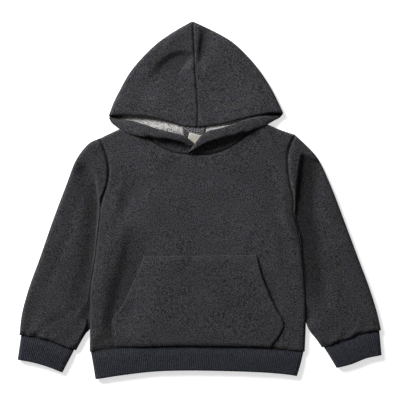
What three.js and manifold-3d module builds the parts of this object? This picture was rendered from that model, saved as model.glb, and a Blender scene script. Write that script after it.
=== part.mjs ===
// A toddler's pullover hoodie in charcoal loopback fleece, laid flat on its back with the hood spread
// above it. Millimetres: +Y runs up the garment, +Z up from the table at z = 0, and +X is the side of
// the wearer's left arm. Left and right in names are the wearer's, so the right side lies at -X.
import * as THREE from "three";
import { mergeVertices } from "three/addons/utils/BufferGeometryUtils.js";
import Module from "manifold-3d";

// Cloth and seams
const FLEECE = 2; // wall of one layer of fleece
const RIB_CLOTH = 2.4; // wall of the folded rib bands
const TAPE = 0.8; // label
const FACING = 1; // strip inside the back of the neck
const SEAM = 0.3; // space left between two pieces at a seam
const CURVED_SEAM = 0.9; // the same in plan where both edges are curved and made of short straight lines
const AIR = 3.3; // most space between two layers that lie on each other
const ROLL = 6; // radius of a folded edge
const CROWN = 2 * FLEECE + AIR; // height of the upper layer's outside
const TABLE_GAP = 0.5; // height of an edge that turns down to the table
const TUBE_MIDDLE = 0.42; // how high a flattened tube is widest, as a share of its height
const SLEEVE_SWELL = 0.5; // how much higher a sleeve is halfway along
const CUFF_SWELL = 0.4; // how much higher the cuffs are than the sleeves' ends

// Ribs of the hem and cuff bands
const RIB_RISE = 0.6; // how far each rib stands proud
const HEM_RIBS = 84;
const CUFF_RIBS = 23;

// Sections across the body, from the hem seam up the side seams and the armholes
const BODY = [
  { y: -241.5, rightX: -176.5, leftX: 167.6 },
  { y: -208, rightX: -176, leftX: 169.1 },
  { y: -177, rightX: -175.5, leftX: 169.1 },
  { y: -137, rightX: -174.1, leftX: 167.4 },
  { y: -97, rightX: -167.5, leftX: 163.6 },
  { y: -58, rightX: -163.5, leftX: 158.5 },
  { y: -20.5, rightX: -160.8, leftX: 150.4 },
  { y: 1, rightX: -155.5, leftX: 149.2 },
  { y: 24, rightX: -147.6, leftX: 143.6 },
  { y: 50, rightX: -145, leftX: 139.6 },
  { y: 76, rightX: -150.4, leftX: 140.2 },
];
const UNDERARM_Y = -20.5;

// Shoulder seams, each from the right to the left
const RIGHT_SHOULDER_SEAM = [
  { x: -160.8, y: 98.4 },
  { x: -145.6, y: 105.8 },
  { x: -127.4, y: 113.9 },
  { x: -115, y: 117 },
];
const LEFT_SHOULDER_SEAM = [
  { x: 101, y: 121.4 },
  { x: 107.2, y: 121 },
  { x: 128, y: 112.6 },
  { x: 150.4, y: 105 },
];
const RIGHT_SHOULDER = RIGHT_SHOULDER_SEAM[0];
const LEFT_SHOULDER = LEFT_SHOULDER_SEAM.at(-1);
const RIGHT_NECK_POINT = RIGHT_SHOULDER_SEAM.at(-1);
const LEFT_NECK_POINT = LEFT_SHOULDER_SEAM[0];

// Seams across the body: the hem, and the neck at the front and at the back
const HEM_SEAM = [
  { x: -137.4, y: -235.6 },
  { x: -84, y: -234.2 },
  { x: -36.8, y: -232.6 },
  { x: 6.1, y: -233.1 },
  { x: 109, y: -235 },
  { x: 149.6, y: -239.6 },
];
const FRONT_NECK = [
  { x: -88.6, y: 101.6 },
  { x: -68.2, y: 87.4 },
  { x: -47.7, y: 77.1 },
  { x: -27.4, y: 73.1 },
  { x: -9, y: 71.4 },
  { x: 13.4, y: 72 },
  { x: 33.9, y: 77.1 },
  { x: 54.4, y: 87.4 },
  { x: 70.4, y: 98.6 },
  { x: 85, y: 111 },
];
const BACK_NECK = [
  { x: -88, y: 107.5 },
  { x: -50, y: 103 },
  { x: -9, y: 102 },
  { x: 33, y: 104.5 },
  { x: 74, y: 112.5 },
];
const SHOULDER_SHARE = { right: 0.16, left: 0.82 }; // where the neck points lie along the top edge

// How the front's edges turn down over the back, along the side seams and the shoulders
const SIDE_TURN_END = -14; // height up the garment where the side's turn dies out below the armhole
const TURN_LENGTH = 16; // over what length it dies out
const NECK_TURN = 0.03; // over what share of the top edge the shoulder's turn dies out at the neck
const BACK_INSET = FLEECE + 1.2; // how far the back's edges lie inside the front's fold
const BACK_TURN = 10; // over what length, just above the side's turn, the back comes out to the armhole
const BACK_NECK_TURN = 0.02; // the same as a share of the top edge, at the neck

// Lower edge of the hem band, and the middle of its two ends
const HEM_STEP = 2; // how far the band's ends lie inside the body's sides
const HEM_ENDS = { right: { x: -170.8, y: -263 }, left: { x: 160.4, y: -263 } };
const HEM_BAND = [
  { x: -167, y: -286.2 },
  { x: -122.4, y: -279.4 },
  { x: -73.1, y: -273.9 },
  { x: -26.1, y: -272.3 },
  { x: 38.2, y: -273 },
  { x: 102.6, y: -275.4 },
  { x: 141.1, y: -278.8 },
  { x: 155, y: -281.1 },
];

// Sections along each sleeve, with the outer edge and the inner edge
const SLEEVES = {
  right: {
    side: -1,
    outer: [
      { x: -176.4, y: 91.2 },
      { x: -196.8, y: 66.4 },
      { x: -214.4, y: 22.4 },
      { x: -236, y: -35 },
      { x: -256, y: -92.8 },
      { x: -273.2, y: -140 },
      { x: -284.6, y: -182 },
    ],
    innerEnd: [
      { x: -176.5, y: -180 },
      { x: -177.4, y: -205 },
      { x: -184.6, y: -216 },
    ],
    cuffSeam: [
      { x: -288.6, y: -215 },
      { x: -267, y: -217 },
      { x: -240.5, y: -223.6 },
      { x: -212, y: -234.6 },
      { x: -197.6, y: -239.4 },
    ],
    cuffEnd: [
      { x: -291.4, y: -255 },
      { x: -266.9, y: -259.4 },
      { x: -240.5, y: -267.2 },
      { x: -219.7, y: -275.4 },
    ],
  },
  left: {
    side: 1,
    outer: [
      { x: 165.5, y: 91.6 },
      { x: 187.5, y: 67.5 },
      { x: 208, y: 25.5 },
      { x: 230.5, y: -33 },
      { x: 252.8, y: -92.8 },
      { x: 270.5, y: -140 },
      { x: 283.6, y: -182 },
    ],
    innerEnd: [
      { x: 170.4, y: -184 },
      { x: 176.6, y: -207 },
      { x: 185.4, y: -221.4 },
    ],
    cuffSeam: [
      { x: 289.2, y: -207.4 },
      { x: 265.9, y: -210.3 },
      { x: 242.1, y: -218.1 },
      { x: 212, y: -229.2 },
      { x: 194.5, y: -234.8 },
    ],
    cuffEnd: [
      { x: 290.2, y: -247.6 },
      { x: 266, y: -252.6 },
      { x: 242.1, y: -262 },
      { x: 218.2, y: -268.2 },
    ],
  },
};
const CUFF_STEP = 3; // how far a cuff's edges lie inside the sleeve's

// Sections across the hood above its opening
const HOOD = [
  { y: 157, rightX: -137.6, leftX: 124.8 },
  { y: 176, rightX: -128, leftX: 115.2 },
  { y: 201.6, rightX: -113.6, leftX: 99.2 },
  { y: 227.2, rightX: -92.8, leftX: 78.4 },
  { y: 252.8, rightX: -65.6, leftX: 51.2 },
  { y: 272, rightX: -36.8, leftX: 17.6 },
];
const HOOD_PEAK = { x: -12, y: 285.6 };
const HOOD_SEAM = [
  { x: -3.8, y: 146.6 },
  { x: -5.9, y: 177 },
  { x: -8, y: 208 },
  { x: -9.9, y: 248.6 },
];
const HOOD_SIDES = {
  right: {
    side: -1,
    corner: { x: -145.8, y: 135.4 },
    peakEnd: { x: -17, y: 283.2 },
    lip: [
      { x: -27.4, y: 117.9 },
      { x: -44, y: 123.6 },
      { x: -78.4, y: 132.3 },
      { x: -123, y: 135.6 },
    ],
    backEdge: [
      { x: -50, y: 103 },
      { x: -88, y: 107.5 },
      { x: -112, y: 118.6 },
      { x: -127.6, y: 115 },
      { x: -134, y: 118.8 },
      { x: -141.8, y: 124.8 },
    ],
  },
  left: {
    side: 1,
    corner: { x: 133.1, y: 139.2 },
    peakEnd: { x: -6.6, y: 283.3 },
    lip: [
      { x: 12.6, y: 117.4 },
      { x: 35, y: 119.6 },
      { x: 50.4, y: 123.8 },
      { x: 86, y: 133.8 },
      { x: 111.5, y: 138.9 },
    ],
    backEdge: [
      { x: 33, y: 104.5 },
      { x: 74, y: 112.5 },
      { x: 99, y: 123.2 },
      { x: 108, y: 122.4 },
      { x: 114, y: 126 },
      { x: 126.6, y: 131.8 },
    ],
  },
};
const LIP_CENTRE = { x: -4.6, y: 115.8 };
const BACK_NECK_CENTRE = { x: -9, y: 102 };
const LIP_RISE = 5; // how far the opening's upper edge stands above the rest of the hood
const LIP_REACH = 34; // over what distance that rise dies away
const PEAK_DROP = 1.6; // how far below the peak each panel's own tip lies
const HOOD_MIDDLE = 0.45; // how high the hood's fold is widest, as a share of its height
const HOOD_ROWS = [0, 0.02, 0.06, 0.13, 0.22, 0.33, 0.45, 0.58, 0.7, 0.81, 0.9, 0.96, 1]; // shares up a panel

// Sections along the lower front of the hood, from the throat to the corner. The cloth leaves the neck
// seam at root, turns back under the hem band, rolls over its crest between low and top, and ends there.
const FRONT_HEMS = {
  right: [
    { rootX: -21.6, rootY: 73.6, rootZ: 7.2, lowX: -15, lowY: 84.9, topX: -9.8, topY: 91, crest: 10.6 },
    { rootX: -31, rootY: 73.9, rootZ: 7.2, lowX: -27.4, lowY: 92.6, topX: -25.5, topY: 101.6, crest: 15 },
    { rootX: -47.7, rootY: 77.6, rootZ: 7.2, lowX: -47.7, lowY: 97.6, topX: -47.7, topY: 108, crest: 18 },
    { rootX: -68.2, rootY: 88, rootZ: 7.2, lowX: -68.2, lowY: 99.5, topX: -68, topY: 112.6, crest: 19 },
    { rootX: -88.6, rootY: 102.3, rootZ: 7.8, lowX: -88.6, lowY: 101.6, topX: -88.6, topY: 120, crest: 19 },
    { rootX: -108, rootY: 114.6, rootZ: 8.4, lowX: -109, lowY: 105.8, topX: -107, topY: 126.6, crest: 17 },
    { rootX: -120, rootY: 120, rootZ: 6, lowX: -120.4, lowY: 110.6, topX: -119, topY: 129.4, crest: 14.5 },
    { rootX: -130, rootY: 122.6, rootZ: 2.4, lowX: -131.4, lowY: 116.8, topX: -130, topY: 131.8, crest: 11.5 },
    { rootX: -138, rootY: 128, rootZ: 2, lowX: -141.2, lowY: 124.2, topX: -139, topY: 134, crest: 8.6 },
    { rootX: -142.6, rootY: 132, rootZ: 2, lowX: -145.4, lowY: 131, topX: -143.6, topY: 136.4, crest: 7.6 },
  ],
  left: [
    { rootX: -19.6, rootY: 74.6, rootZ: 11.2, lowX: -19.2, lowY: 75.4, topX: -18.4, topY: 77.4, crest: 13 },
    { rootX: -10, rootY: 73.2, rootZ: 9.6, lowX: -8.5, lowY: 81.8, topX: -7.6, topY: 90.8, crest: 16 },
    { rootX: 2, rootY: 72.6, rootZ: 7.6, lowX: 3.2, lowY: 88.5, topX: 3.2, topY: 103.2, crest: 18 },
    { rootX: 13.4, rootY: 72.7, rootZ: 7.2, lowX: 13.4, lowY: 93.4, topX: 13.4, topY: 109.8, crest: 19.5 },
    { rootX: 33.9, rootY: 77.7, rootZ: 7.2, lowX: 33.9, lowY: 99.5, topX: 33.9, topY: 113.9, crest: 20 },
    { rootX: 54.2, rootY: 87.9, rootZ: 7.2, lowX: 54.2, lowY: 104.6, topX: 54.2, topY: 120.6, crest: 19 },
    { rootX: 74.7, rootY: 103.4, rootZ: 7.8, lowX: 74.7, lowY: 109.8, topX: 74.7, topY: 128, crest: 18 },
    { rootX: 92, rootY: 117.8, rootZ: 8.4, lowX: 93, lowY: 116.8, topX: 93, topY: 133, crest: 16.5 },
    { rootX: 106, rootY: 126, rootZ: 6, lowX: 107.2, lowY: 121.4, topX: 108, topY: 135.4, crest: 14 },
    { rootX: 116, rootY: 131, rootZ: 2.4, lowX: 118, lowY: 127.4, topX: 118.5, topY: 137, crest: 11 },
    { rootX: 124.6, rootY: 135.4, rootZ: 2, lowX: 127.2, lowY: 132, topX: 126.4, topY: 138.8, crest: 8.6 },
    { rootX: 129.6, rootY: 139, rootZ: 2, lowX: 132.7, lowY: 137.6, topX: 131, topY: 141.4, crest: 7.6 },
  ],
};
const VALLEY = { reach: 4.5, share: 0.5 }; // how far the cloth turns back under the band, and at most
const FOOT = { rise: 1.2, share: 0.15 }; // how far it climbs from the seam to there, and at most
const BACK_OF_BAND = { share: 0.3, drop: 0.6 }; // a place across the band just before its crest
const CREST_SHARE = 0.6; // where the crest lies across the band
const EDGE_DROP = { crest: 2.2, rim: 6.5 }; // fall from the crest to the top edge, and to the cloth's end
const RIM = { beyond: 0.8, above: 0.6 }; // how far the end lies past the top edge, and above the seam

// Kangaroo pocket: a patch on the front, with a slanted opening for each hand
const POCKET = {
  top: [
    { x: -89.3, y: -90.4 },
    { x: 89.8, y: -87.4 },
  ],
  rightOpening: [
    { x: -101, y: -120 },
    { x: -123, y: -166 },
    { x: -140.6, y: -194 },
  ],
  leftOpening: [
    { x: 99.5, y: -124 },
    { x: 119.5, y: -171 },
    { x: 133, y: -199 },
  ],
  bottomRightX: -135.4,
  bottomLeftX: 112,
  aboveHem: 1,
  lift: 1, // how far the hand openings stand off the front
  liftShare: 0.06, // how far that reaches in from the openings
};

// Inside the back of the neck
const NECK_FACING = [
  { y: 94, rightX: -24.6, leftX: 2 },
  { y: 104, rightX: -25.6, leftX: 4.8 },
  { y: 118, rightX: -29, leftX: 10.7 },
  { y: 134, rightX: -32, leftX: 15 },
];
const LABEL = { x: -8.6, y: 95.6, width: 21.5, length: 19, tilt: -0.24 };

// Soft troughs in the upper layers: place, direction, half sizes and depth
const FOLDS = {
  body: [
    { x: -122, y: -122, turn: 1.25, long: 50, wide: 15, deep: 2.4 },
    { x: 134, y: -80, turn: 1.75, long: 60, wide: 12, deep: 1.2 },
    { x: -70, y: 12, turn: 0.5, long: 60, wide: 16, deep: 0.5 },
    { x: 62, y: -30, turn: -0.55, long: 58, wide: 15, deep: 0.5 },
  ],
  sleeve_right: [
    { x: -176, y: 38, turn: 1.1, long: 30, wide: 9, deep: 1.8 },
    { x: -222, y: -96, turn: 1.2, long: 52, wide: 12, deep: 0.7 },
    { x: -205, y: -178, turn: 0.7, long: 28, wide: 9, deep: 0.8 },
  ],
  sleeve_left: [
    { x: 164, y: 20, turn: 1.6, long: 60, wide: 10, deep: 1.9 },
    { x: 205, y: -100, turn: -1.2, long: 54, wide: 12, deep: 0.8 },
    { x: 208, y: -176, turn: -0.7, long: 26, wide: 9, deep: 0.8 },
  ],
  hood: [
    { x: -46, y: 225, turn: 0.45, long: 26, wide: 12, deep: 2.2 },
    { x: 10, y: 244, turn: 1.45, long: 26, wide: 9, deep: 1.2 },
    { x: 62, y: 170, turn: -0.9, long: 52, wide: 15, deep: 0.6 },
    { x: -82, y: 176, turn: 0.9, long: 50, wide: 15, deep: 0.5 },
  ],
};

const COLOURS = {
  fleece: { color: 0x3c3b3e, roughness: 0.95, metalness: 0 },
  rib: { color: 0x2c2e33, roughness: 0.95, metalness: 0 },
  label: { color: 0xc9c8b4, roughness: 0.8, metalness: 0 },
};

const wasm = await Module();
wasm.setup();

const clamp = (t) => Math.min(1, Math.max(0, t));
const smooth = (t) => clamp(t) ** 2 * (3 - 2 * clamp(t));
const rounded = (distance) => Math.sqrt(1 - (1 - clamp(distance / ROLL)) ** 2);
const steps = (count) => Array.from({ length: count + 1 }, (_, k) => k / count);
const between = (a, b, t) => ({ x: a.x + (b.x - a.x) * t, y: a.y + (b.y - a.y) * t });
const apart = (a, b) => Math.hypot(a.x - b.x, a.y - b.y);

// A smooth line through points, as a function of the share of its length.
function through(points) {
  const line = new THREE.CatmullRomCurve3(
    points.map((p) => new THREE.Vector3(p.x, p.y, p.z ?? 0)),
    false,
    "centripetal",
  );
  line.arcLengthDivisions = 400;
  return (share) => line.getPointAt(clamp(share));
}

// Several lines end to end, where the joins lie at the given shares.
function joined(lines, joins) {
  const ends = [0, ...joins, 1];
  return (share) => {
    const k = Math.min(lines.length - 1, Math.max(0, joins.filter((j) => share >= j).length));
    return lines[k]((share - ends[k]) / (ends[k + 1] - ends[k]));
  };
}

// The place at shares (u, v) between four edges: near and far run with u, start and end with v.
function patch(near, far, start, end) {
  return (u, v) => {
    const mix = (key) =>
      (1 - v) * near(u)[key] +
      v * far(u)[key] +
      (1 - u) * start(v)[key] +
      u * end(v)[key] -
      (1 - u) * (1 - v) * near(0)[key] -
      u * (1 - v) * near(1)[key] -
      (1 - u) * v * far(0)[key] -
      u * v * far(1)[key];
    return { x: mix("x"), y: mix("y") };
  };
}

// Depth of all the folds of a piece at a place.
function foldDepth(folds, place) {
  return folds.reduce((sum, f) => {
    const along = (place.x - f.x) * Math.cos(f.turn) + (place.y - f.y) * Math.sin(f.turn);
    const across = (place.y - f.y) * Math.cos(f.turn) - (place.x - f.x) * Math.sin(f.turn);
    return sum + f.deep * Math.exp(-((along / f.long) ** 2) - (across / f.wide) ** 2);
  }, 0);
}

// A closed solid between rows of points outside and inside. A closed wall joins each row's end to its
// start, and flip turns the faces round where rows and columns run the other way.
function solid(outside, inside, { closed = false, flip = false }) {
  const tall = outside.length;
  const wide = outside[0].length;
  const index = [];
  const face = (a, b, c, d) => index.push(...(flip ? [a, c, b, a, d, c] : [a, b, c, a, c, d]));
  const out = (i, j) => i * wide + (j % wide);
  const inn = (i, j) => tall * wide + out(i, j);
  const columns = closed ? wide : wide - 1;
  for (let j = 0; j < columns; j += 1) {
    for (let i = 0; i < tall - 1; i += 1) {
      face(out(i, j), out(i, j + 1), out(i + 1, j + 1), out(i + 1, j));
      face(inn(i, j), inn(i + 1, j), inn(i + 1, j + 1), inn(i, j + 1));
    }
    face(inn(0, j), inn(0, j + 1), out(0, j + 1), out(0, j));
    face(inn(tall - 1, j + 1), inn(tall - 1, j), out(tall - 1, j), out(tall - 1, j + 1));
  }
  for (let i = 0; i < tall - 1 && !closed; i += 1) {
    face(inn(i + 1, 0), inn(i, 0), out(i, 0), out(i + 1, 0));
    face(inn(i, wide - 1), inn(i + 1, wide - 1), out(i + 1, wide - 1), out(i, wide - 1));
  }
  const positions = [...outside, ...inside].flat().flatMap((p) => [p.x, p.y, p.z]);
  const geometry = new THREE.BufferGeometry();
  geometry.setAttribute("position", new THREE.Float32BufferAttribute(positions, 3));
  geometry.setIndex(index);
  return geometry;
}

// A wall of cloth from rows of points on its outside, with the inside square below them.
function wall(rows, { thick, flip = false }) {
  const at = (i, j) => {
    const row = rows[Math.min(rows.length - 1, Math.max(0, i))];
    return row[Math.min(row.length - 1, Math.max(0, j))];
  };
  const inside = rows.map((row, i) =>
    row.map((point, j) => {
      const across = at(i, j + 1).clone().sub(at(i, j - 1));
      const along = at(i + 1, j).clone().sub(at(i - 1, j));
      const normal = across.cross(along).normalize();
      return point.clone().addScaledVector(normal, flip ? thick : -thick);
    }),
  );
  return solid(rows, inside, { flip });
}

// One solid from walls that run into each other.
function joinedWalls(...walls) {
  const solids = walls.map((geometry) => {
    const merged = mergeVertices(geometry, 1e-4);
    return new wasm.Manifold(
      new wasm.Mesh({
        numProp: 3,
        vertProperties: merged.attributes.position.array,
        triVerts: new Uint32Array(merged.index.array),
      }),
    );
  });
  const mesh = solids.reduce((all, next) => all.add(next)).getMesh();
  const geometry = new THREE.BufferGeometry();
  geometry.setAttribute("position", new THREE.BufferAttribute(mesh.vertProperties, 3));
  geometry.setIndex(new THREE.BufferAttribute(mesh.triVerts, 1));
  return geometry;
}

const hoodie = new THREE.Group();
function add(name, geometry, finish) {
  geometry.computeVertexNormals();
  const mesh = new THREE.Mesh(geometry, new THREE.MeshStandardMaterial(COLOURS[finish]));
  mesh.name = name;
  hoodie.add(mesh);
}

// Edges of the body
const bodyEdge = {
  right: through([...BODY.map((s) => ({ x: s.rightX, y: s.y })), RIGHT_SHOULDER]),
  left: through([...BODY.map((s) => ({ x: s.leftX, y: s.y })), LEFT_SHOULDER]),
};
const hemSeam = through([
  { x: BODY[0].rightX, y: BODY[0].y },
  ...HEM_SEAM,
  { x: BODY[0].leftX, y: BODY[0].y },
]);
const topEdge = (neck) =>
  joined(
    [
      through(RIGHT_SHOULDER_SEAM),
      through([RIGHT_NECK_POINT, ...neck, LEFT_NECK_POINT]),
      through(LEFT_SHOULDER_SEAM),
    ],
    [SHOULDER_SHARE.right, SHOULDER_SHARE.left],
  );
const frontPlan = patch(hemSeam, topEdge(FRONT_NECK), bodyEdge.right, bodyEdge.left);
const backPlan = patch(hemSeam, topEdge(BACK_NECK), bodyEdge.right, bodyEdge.left);

// How far an edge of the front turns down over the back, from 0 to 1.
const sideTurn = (y) => smooth((SIDE_TURN_END - y) / TURN_LENGTH);
const shoulderTurn = (u) =>
  Math.max(
    smooth((SHOULDER_SHARE.right - u) / NECK_TURN),
    smooth((u - SHOULDER_SHARE.left) / NECK_TURN),
  );

// Height of the front's outside at shares (u, v).
function frontHeight(u, v) {
  const place = frontPlan(u, v);
  const fromSide = Math.min(apart(place, frontPlan(0, v)), apart(place, frontPlan(1, v)));
  const fromTop = apart(place, frontPlan(u, 1));
  const side = 1 - sideTurn(place.y) * (1 - rounded(fromSide));
  const top = 1 - shoulderTurn(u) * (1 - rounded(fromTop));
  const height = CROWN - foldDepth(FOLDS.body, place);
  return TABLE_GAP + (height - TABLE_GAP) * side * top;
}

// Shares across and up a panel, close together at its edges.
const EDGE_STEPS = [0, 0.6, 2.4, ROLL];
const bodyWidth = BODY[0].leftX - BODY[0].rightX;
const bodyLength = LEFT_SHOULDER.y - BODY[0].y;
const edgeShares = (length) => EDGE_STEPS.map((d) => d / length);
const farEdgeShares = (length) => edgeShares(length).map((s) => 1 - s).reverse();
const middleShares = (count) => steps(count).slice(1, -1);
const bodyColumns = [...edgeShares(bodyWidth), ...middleShares(18), ...farEdgeShares(bodyWidth)];
const bodyRows = [0, ROLL / bodyLength, ...middleShares(14), ...farEdgeShares(bodyLength)];
const SIDE_SHARE = 0.25; // how much of half the width gives way to a seam at the side

function bodyFront() {
  const clear = SEAM / 2;
  const rows = bodyRows.map((v) =>
    bodyColumns.map((u) => {
      const place = frontPlan(u, v);
      const fromMiddle = 2 * u - 1;
      const nearSide = smooth((Math.abs(fromMiddle) - 1 + SIDE_SHARE) / SIDE_SHARE);
      const armhole = (1 - sideTurn(place.y)) * clear * nearSide;
      const neck = (1 - shoulderTurn(u)) * clear * v;
      const hem = (1 - v) * clear;
      const x = place.x - Math.sign(fromMiddle) * armhole;
      return new THREE.Vector3(x, place.y - neck + hem, frontHeight(u, v));
    }),
  );
  return wall(rows, { thick: FLEECE });
}

function bodyBack() {
  const clear = SEAM / 2;
  const insetBy = (turned) => clear + (BACK_INSET - clear) * turned;
  const rows = bodyRows.map((v) =>
    steps(12).map((u) => {
      const { y } = backPlan(u, v);
      const sideInset = insetBy(smooth((SIDE_TURN_END + BACK_TURN - y) / BACK_TURN));
      const rightTurn = smooth((SHOULDER_SHARE.right + BACK_NECK_TURN - u) / BACK_NECK_TURN);
      const leftTurn = smooth((u - SHOULDER_SHARE.left + BACK_NECK_TURN) / BACK_NECK_TURN);
      const topInset = insetBy(Math.max(rightTurn, leftTurn));
      const across = (sideInset + u * (bodyWidth - 2 * sideInset)) / bodyWidth;
      const place = backPlan(across, v * (1 - topInset / bodyLength));
      return new THREE.Vector3(place.x, place.y + (1 - v) * clear, FLEECE);
    }),
  );
  return wall(rows, { thick: FLEECE });
}

// A flattened tube over a plan patch: shares across it, first over the top and then back underneath.
// rise(row, column) lifts the outside of the top alone.
function tube(plan, { rows, top, under, height, thick, flip, folds = [], rise = () => 0 }) {
  const ring = [
    ...top.map((share) => ({ share, upper: true })),
    ...under.map((share) => ({ share, upper: false })),
  ];
  const layer = (inset, lift) =>
    rows.map((v, i) =>
      ring.map(({ share, upper }, j) => {
        const width = apart(plan(0, v), plan(1, v));
        const place = plan((inset + share * (width - 2 * inset)) / width, v);
        const toEdge = Math.min(share, 1 - share) * (width - 2 * inset);
        const round = rounded((toEdge * ROLL) / (ROLL - inset));
        const crown = height(v) - foldDepth(folds, place) - inset;
        const middle = height(v) * TUBE_MIDDLE;
        const z = upper ? middle + (crown - middle) * round : middle + (inset - middle) * round;
        return new THREE.Vector3(place.x, place.y, z + lift(i, j));
      }),
    );
  return solid(layer(0, rise), layer(thick, () => 0), { closed: true, flip });
}

const crowded = (count) => steps(count).map((s) => (1 - Math.cos(Math.PI * s)) / 2);
const overTop = crowded(11);
const underneath = crowded(7).slice(1, -1).reverse();

// The inner edge of a sleeve follows the body's side, then leaves it.
function sleeveEdges(name) {
  const { side, outer, innerEnd, cuffSeam } = SLEEVES[name];
  const shoulder = name === "right" ? RIGHT_SHOULDER : LEFT_SHOULDER;
  const column = name === "right" ? "rightX" : "leftX";
  const beside = BODY.filter((s) => s.y <= UNDERARM_Y && s.y > innerEnd[0].y)
    .map((s) => ({ x: s[column] + side * SEAM * 2, y: s.y }))
    .reverse();
  const armhole = BODY.filter((s) => s.y > UNDERARM_Y)
    .map((s) => ({ x: s[column], y: s.y }))
    .reverse();
  const underarm = { x: beside[0].x - side * SEAM, y: beside[0].y };
  const start = [shoulder, ...armhole, underarm].map((p) => ({ x: p.x + side * CURVED_SEAM, y: p.y }));
  return {
    armhole: through(start),
    cuff: through(cuffSeam),
    outer: through([start[0], ...outer, cuffSeam[0]]),
    inner: through([start.at(-1), ...beside.slice(1), ...innerEnd, cuffSeam.at(-1)]),
  };
}

function sleeve(name) {
  const edges = sleeveEdges(name);
  const plan = patch(edges.armhole, edges.cuff, edges.outer, edges.inner);
  return tube(plan, {
    rows: steps(11),
    top: overTop,
    under: underneath,
    height: (v) => CROWN + SLEEVE_SWELL * Math.sin(Math.PI * v),
    folds: FOLDS["sleeve_" + name],
    thick: FLEECE,
    flip: name === "right",
  });
}

// Shares across a rib band, two for each rib, and the height of the ribs along them.
const ribShares = (ribs) => steps(2 * ribs);
const ribRise = (ribs) => (i, j) => (j < 2 * ribs && j % 2 === 1 ? RIB_RISE : 0);
const BAND_ROWS = [0, 0.06, 0.5, 0.94, 1]; // shares along a cuff

function cuff(name) {
  const { side, cuffSeam, cuffEnd } = SLEEVES[name];
  const [outer, inner] = [cuffSeam[0], cuffSeam.at(-1)];
  const step = CUFF_STEP / apart(outer, inner);
  const seam = [between(outer, inner, step), ...cuffSeam.slice(1, -1), between(inner, outer, step)].map(
    (p) => ({ x: p.x + side * SEAM, y: p.y - 2 * SEAM }),
  );
  const plan = patch(
    through(seam),
    through(cuffEnd),
    through([seam[0], cuffEnd[0]]),
    through([seam.at(-1), cuffEnd.at(-1)]),
  );
  return tube(plan, {
    rows: BAND_ROWS,
    top: ribShares(CUFF_RIBS),
    under: crowded(5).slice(1, -1).reverse(),
    height: () => CROWN + CUFF_SWELL,
    thick: RIB_CLOTH,
    flip: name === "right",
    rise: ribRise(CUFF_RIBS),
  });
}

function hemRib() {
  const inset = HEM_STEP / bodyWidth;
  const seam = (u) => {
    const p = hemSeam(inset + (1 - 2 * inset) * u);
    return { x: p.x, y: p.y - SEAM };
  };
  const plan = patch(
    seam,
    through(HEM_BAND),
    through([seam(0), HEM_ENDS.right, HEM_BAND[0]]),
    through([seam(1), HEM_ENDS.left, HEM_BAND.at(-1)]),
  );
  return tube(plan, {
    rows: [0, 0.5, 1],
    top: ribShares(HEM_RIBS),
    under: crowded(9).slice(1, -1).reverse(),
    height: () => CROWN,
    thick: RIB_CLOTH,
    flip: true,
    rise: ribRise(HEM_RIBS),
  });
}

// The hood's outline, used to round its fold all the way over the peak.
const outlineOf = (column) => HOOD.map((s) => ({ x: s[column], y: s.y }));
const hoodOutline = {
  right: through([HOOD_SIDES.right.corner, ...outlineOf("rightX"), HOOD_PEAK]),
  left: through([HOOD_SIDES.left.corner, ...outlineOf("leftX"), HOOD_PEAK]),
};
const outlinePoints = ["right", "left"].flatMap((name) => steps(160).map(hoodOutline[name]));
const fromOutline = (place) => Math.min(...outlinePoints.map((p) => apart(place, p)));

// Both layers of one hood panel: from the centre back out to the fold, and back to the centre seam.
function hoodLayers(name) {
  const { side, corner, peakEnd, lip, backEdge } = HOOD_SIDES[name];
  const clear = (side * SEAM) / 2;
  const shifted = (p) => ({ x: p.x + clear, y: p.y });
  const peak = { x: HOOD_PEAK.x + side * CURVED_SEAM, y: HOOD_PEAK.y - PEAK_DROP };
  const outline = through([corner, ...outlineOf(name === "right" ? "rightX" : "leftX"), peakEnd]);
  const peakRow = through([peak, peakEnd]);
  const lipCentre = shifted(LIP_CENTRE);
  const backCentre = shifted({ x: BACK_NECK_CENTRE.x, y: BACK_NECK_CENTRE.y + CURVED_SEAM });
  const upper = patch(
    through([lipCentre, ...lip, corner]),
    peakRow,
    through([lipCentre, ...HOOD_SEAM.map(shifted), peak]),
    outline,
  );
  const lower = patch(
    through([backCentre, ...backEdge.map((p) => ({ x: p.x, y: p.y + CURVED_SEAM })), corner]),
    peakRow,
    through([backCentre, ...HOOD_SEAM.map(shifted), peak]),
    outline,
  );
  const outward = steps(8).map((s) => 1 - (1 - s) ** 2);
  const middle = CROWN * HOOD_MIDDLE;
  const rows = HOOD_ROWS.map((v) => {
    const under = outward.map((u) => {
      const place = lower(u, v);
      return new THREE.Vector3(place.x, place.y, middle * (1 - rounded(fromOutline(place))));
    });
    const over = outward.slice(0, -1).reverse().map((u) => {
      const place = upper(u, v);
      const lipPlace = upper(u, 0);
      const lift = LIP_RISE * Math.exp(-((apart(place, lipPlace) / LIP_REACH) ** 2));
      const crown = CROWN + lift - foldDepth(FOLDS.hood, place);
      const round = rounded(fromOutline(place));
      return new THREE.Vector3(place.x, place.y, middle + (crown - middle) * round);
    });
    return [...under, ...over];
  });
  return wall(rows, { thick: FLEECE, flip: name === "left" });
}

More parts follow.
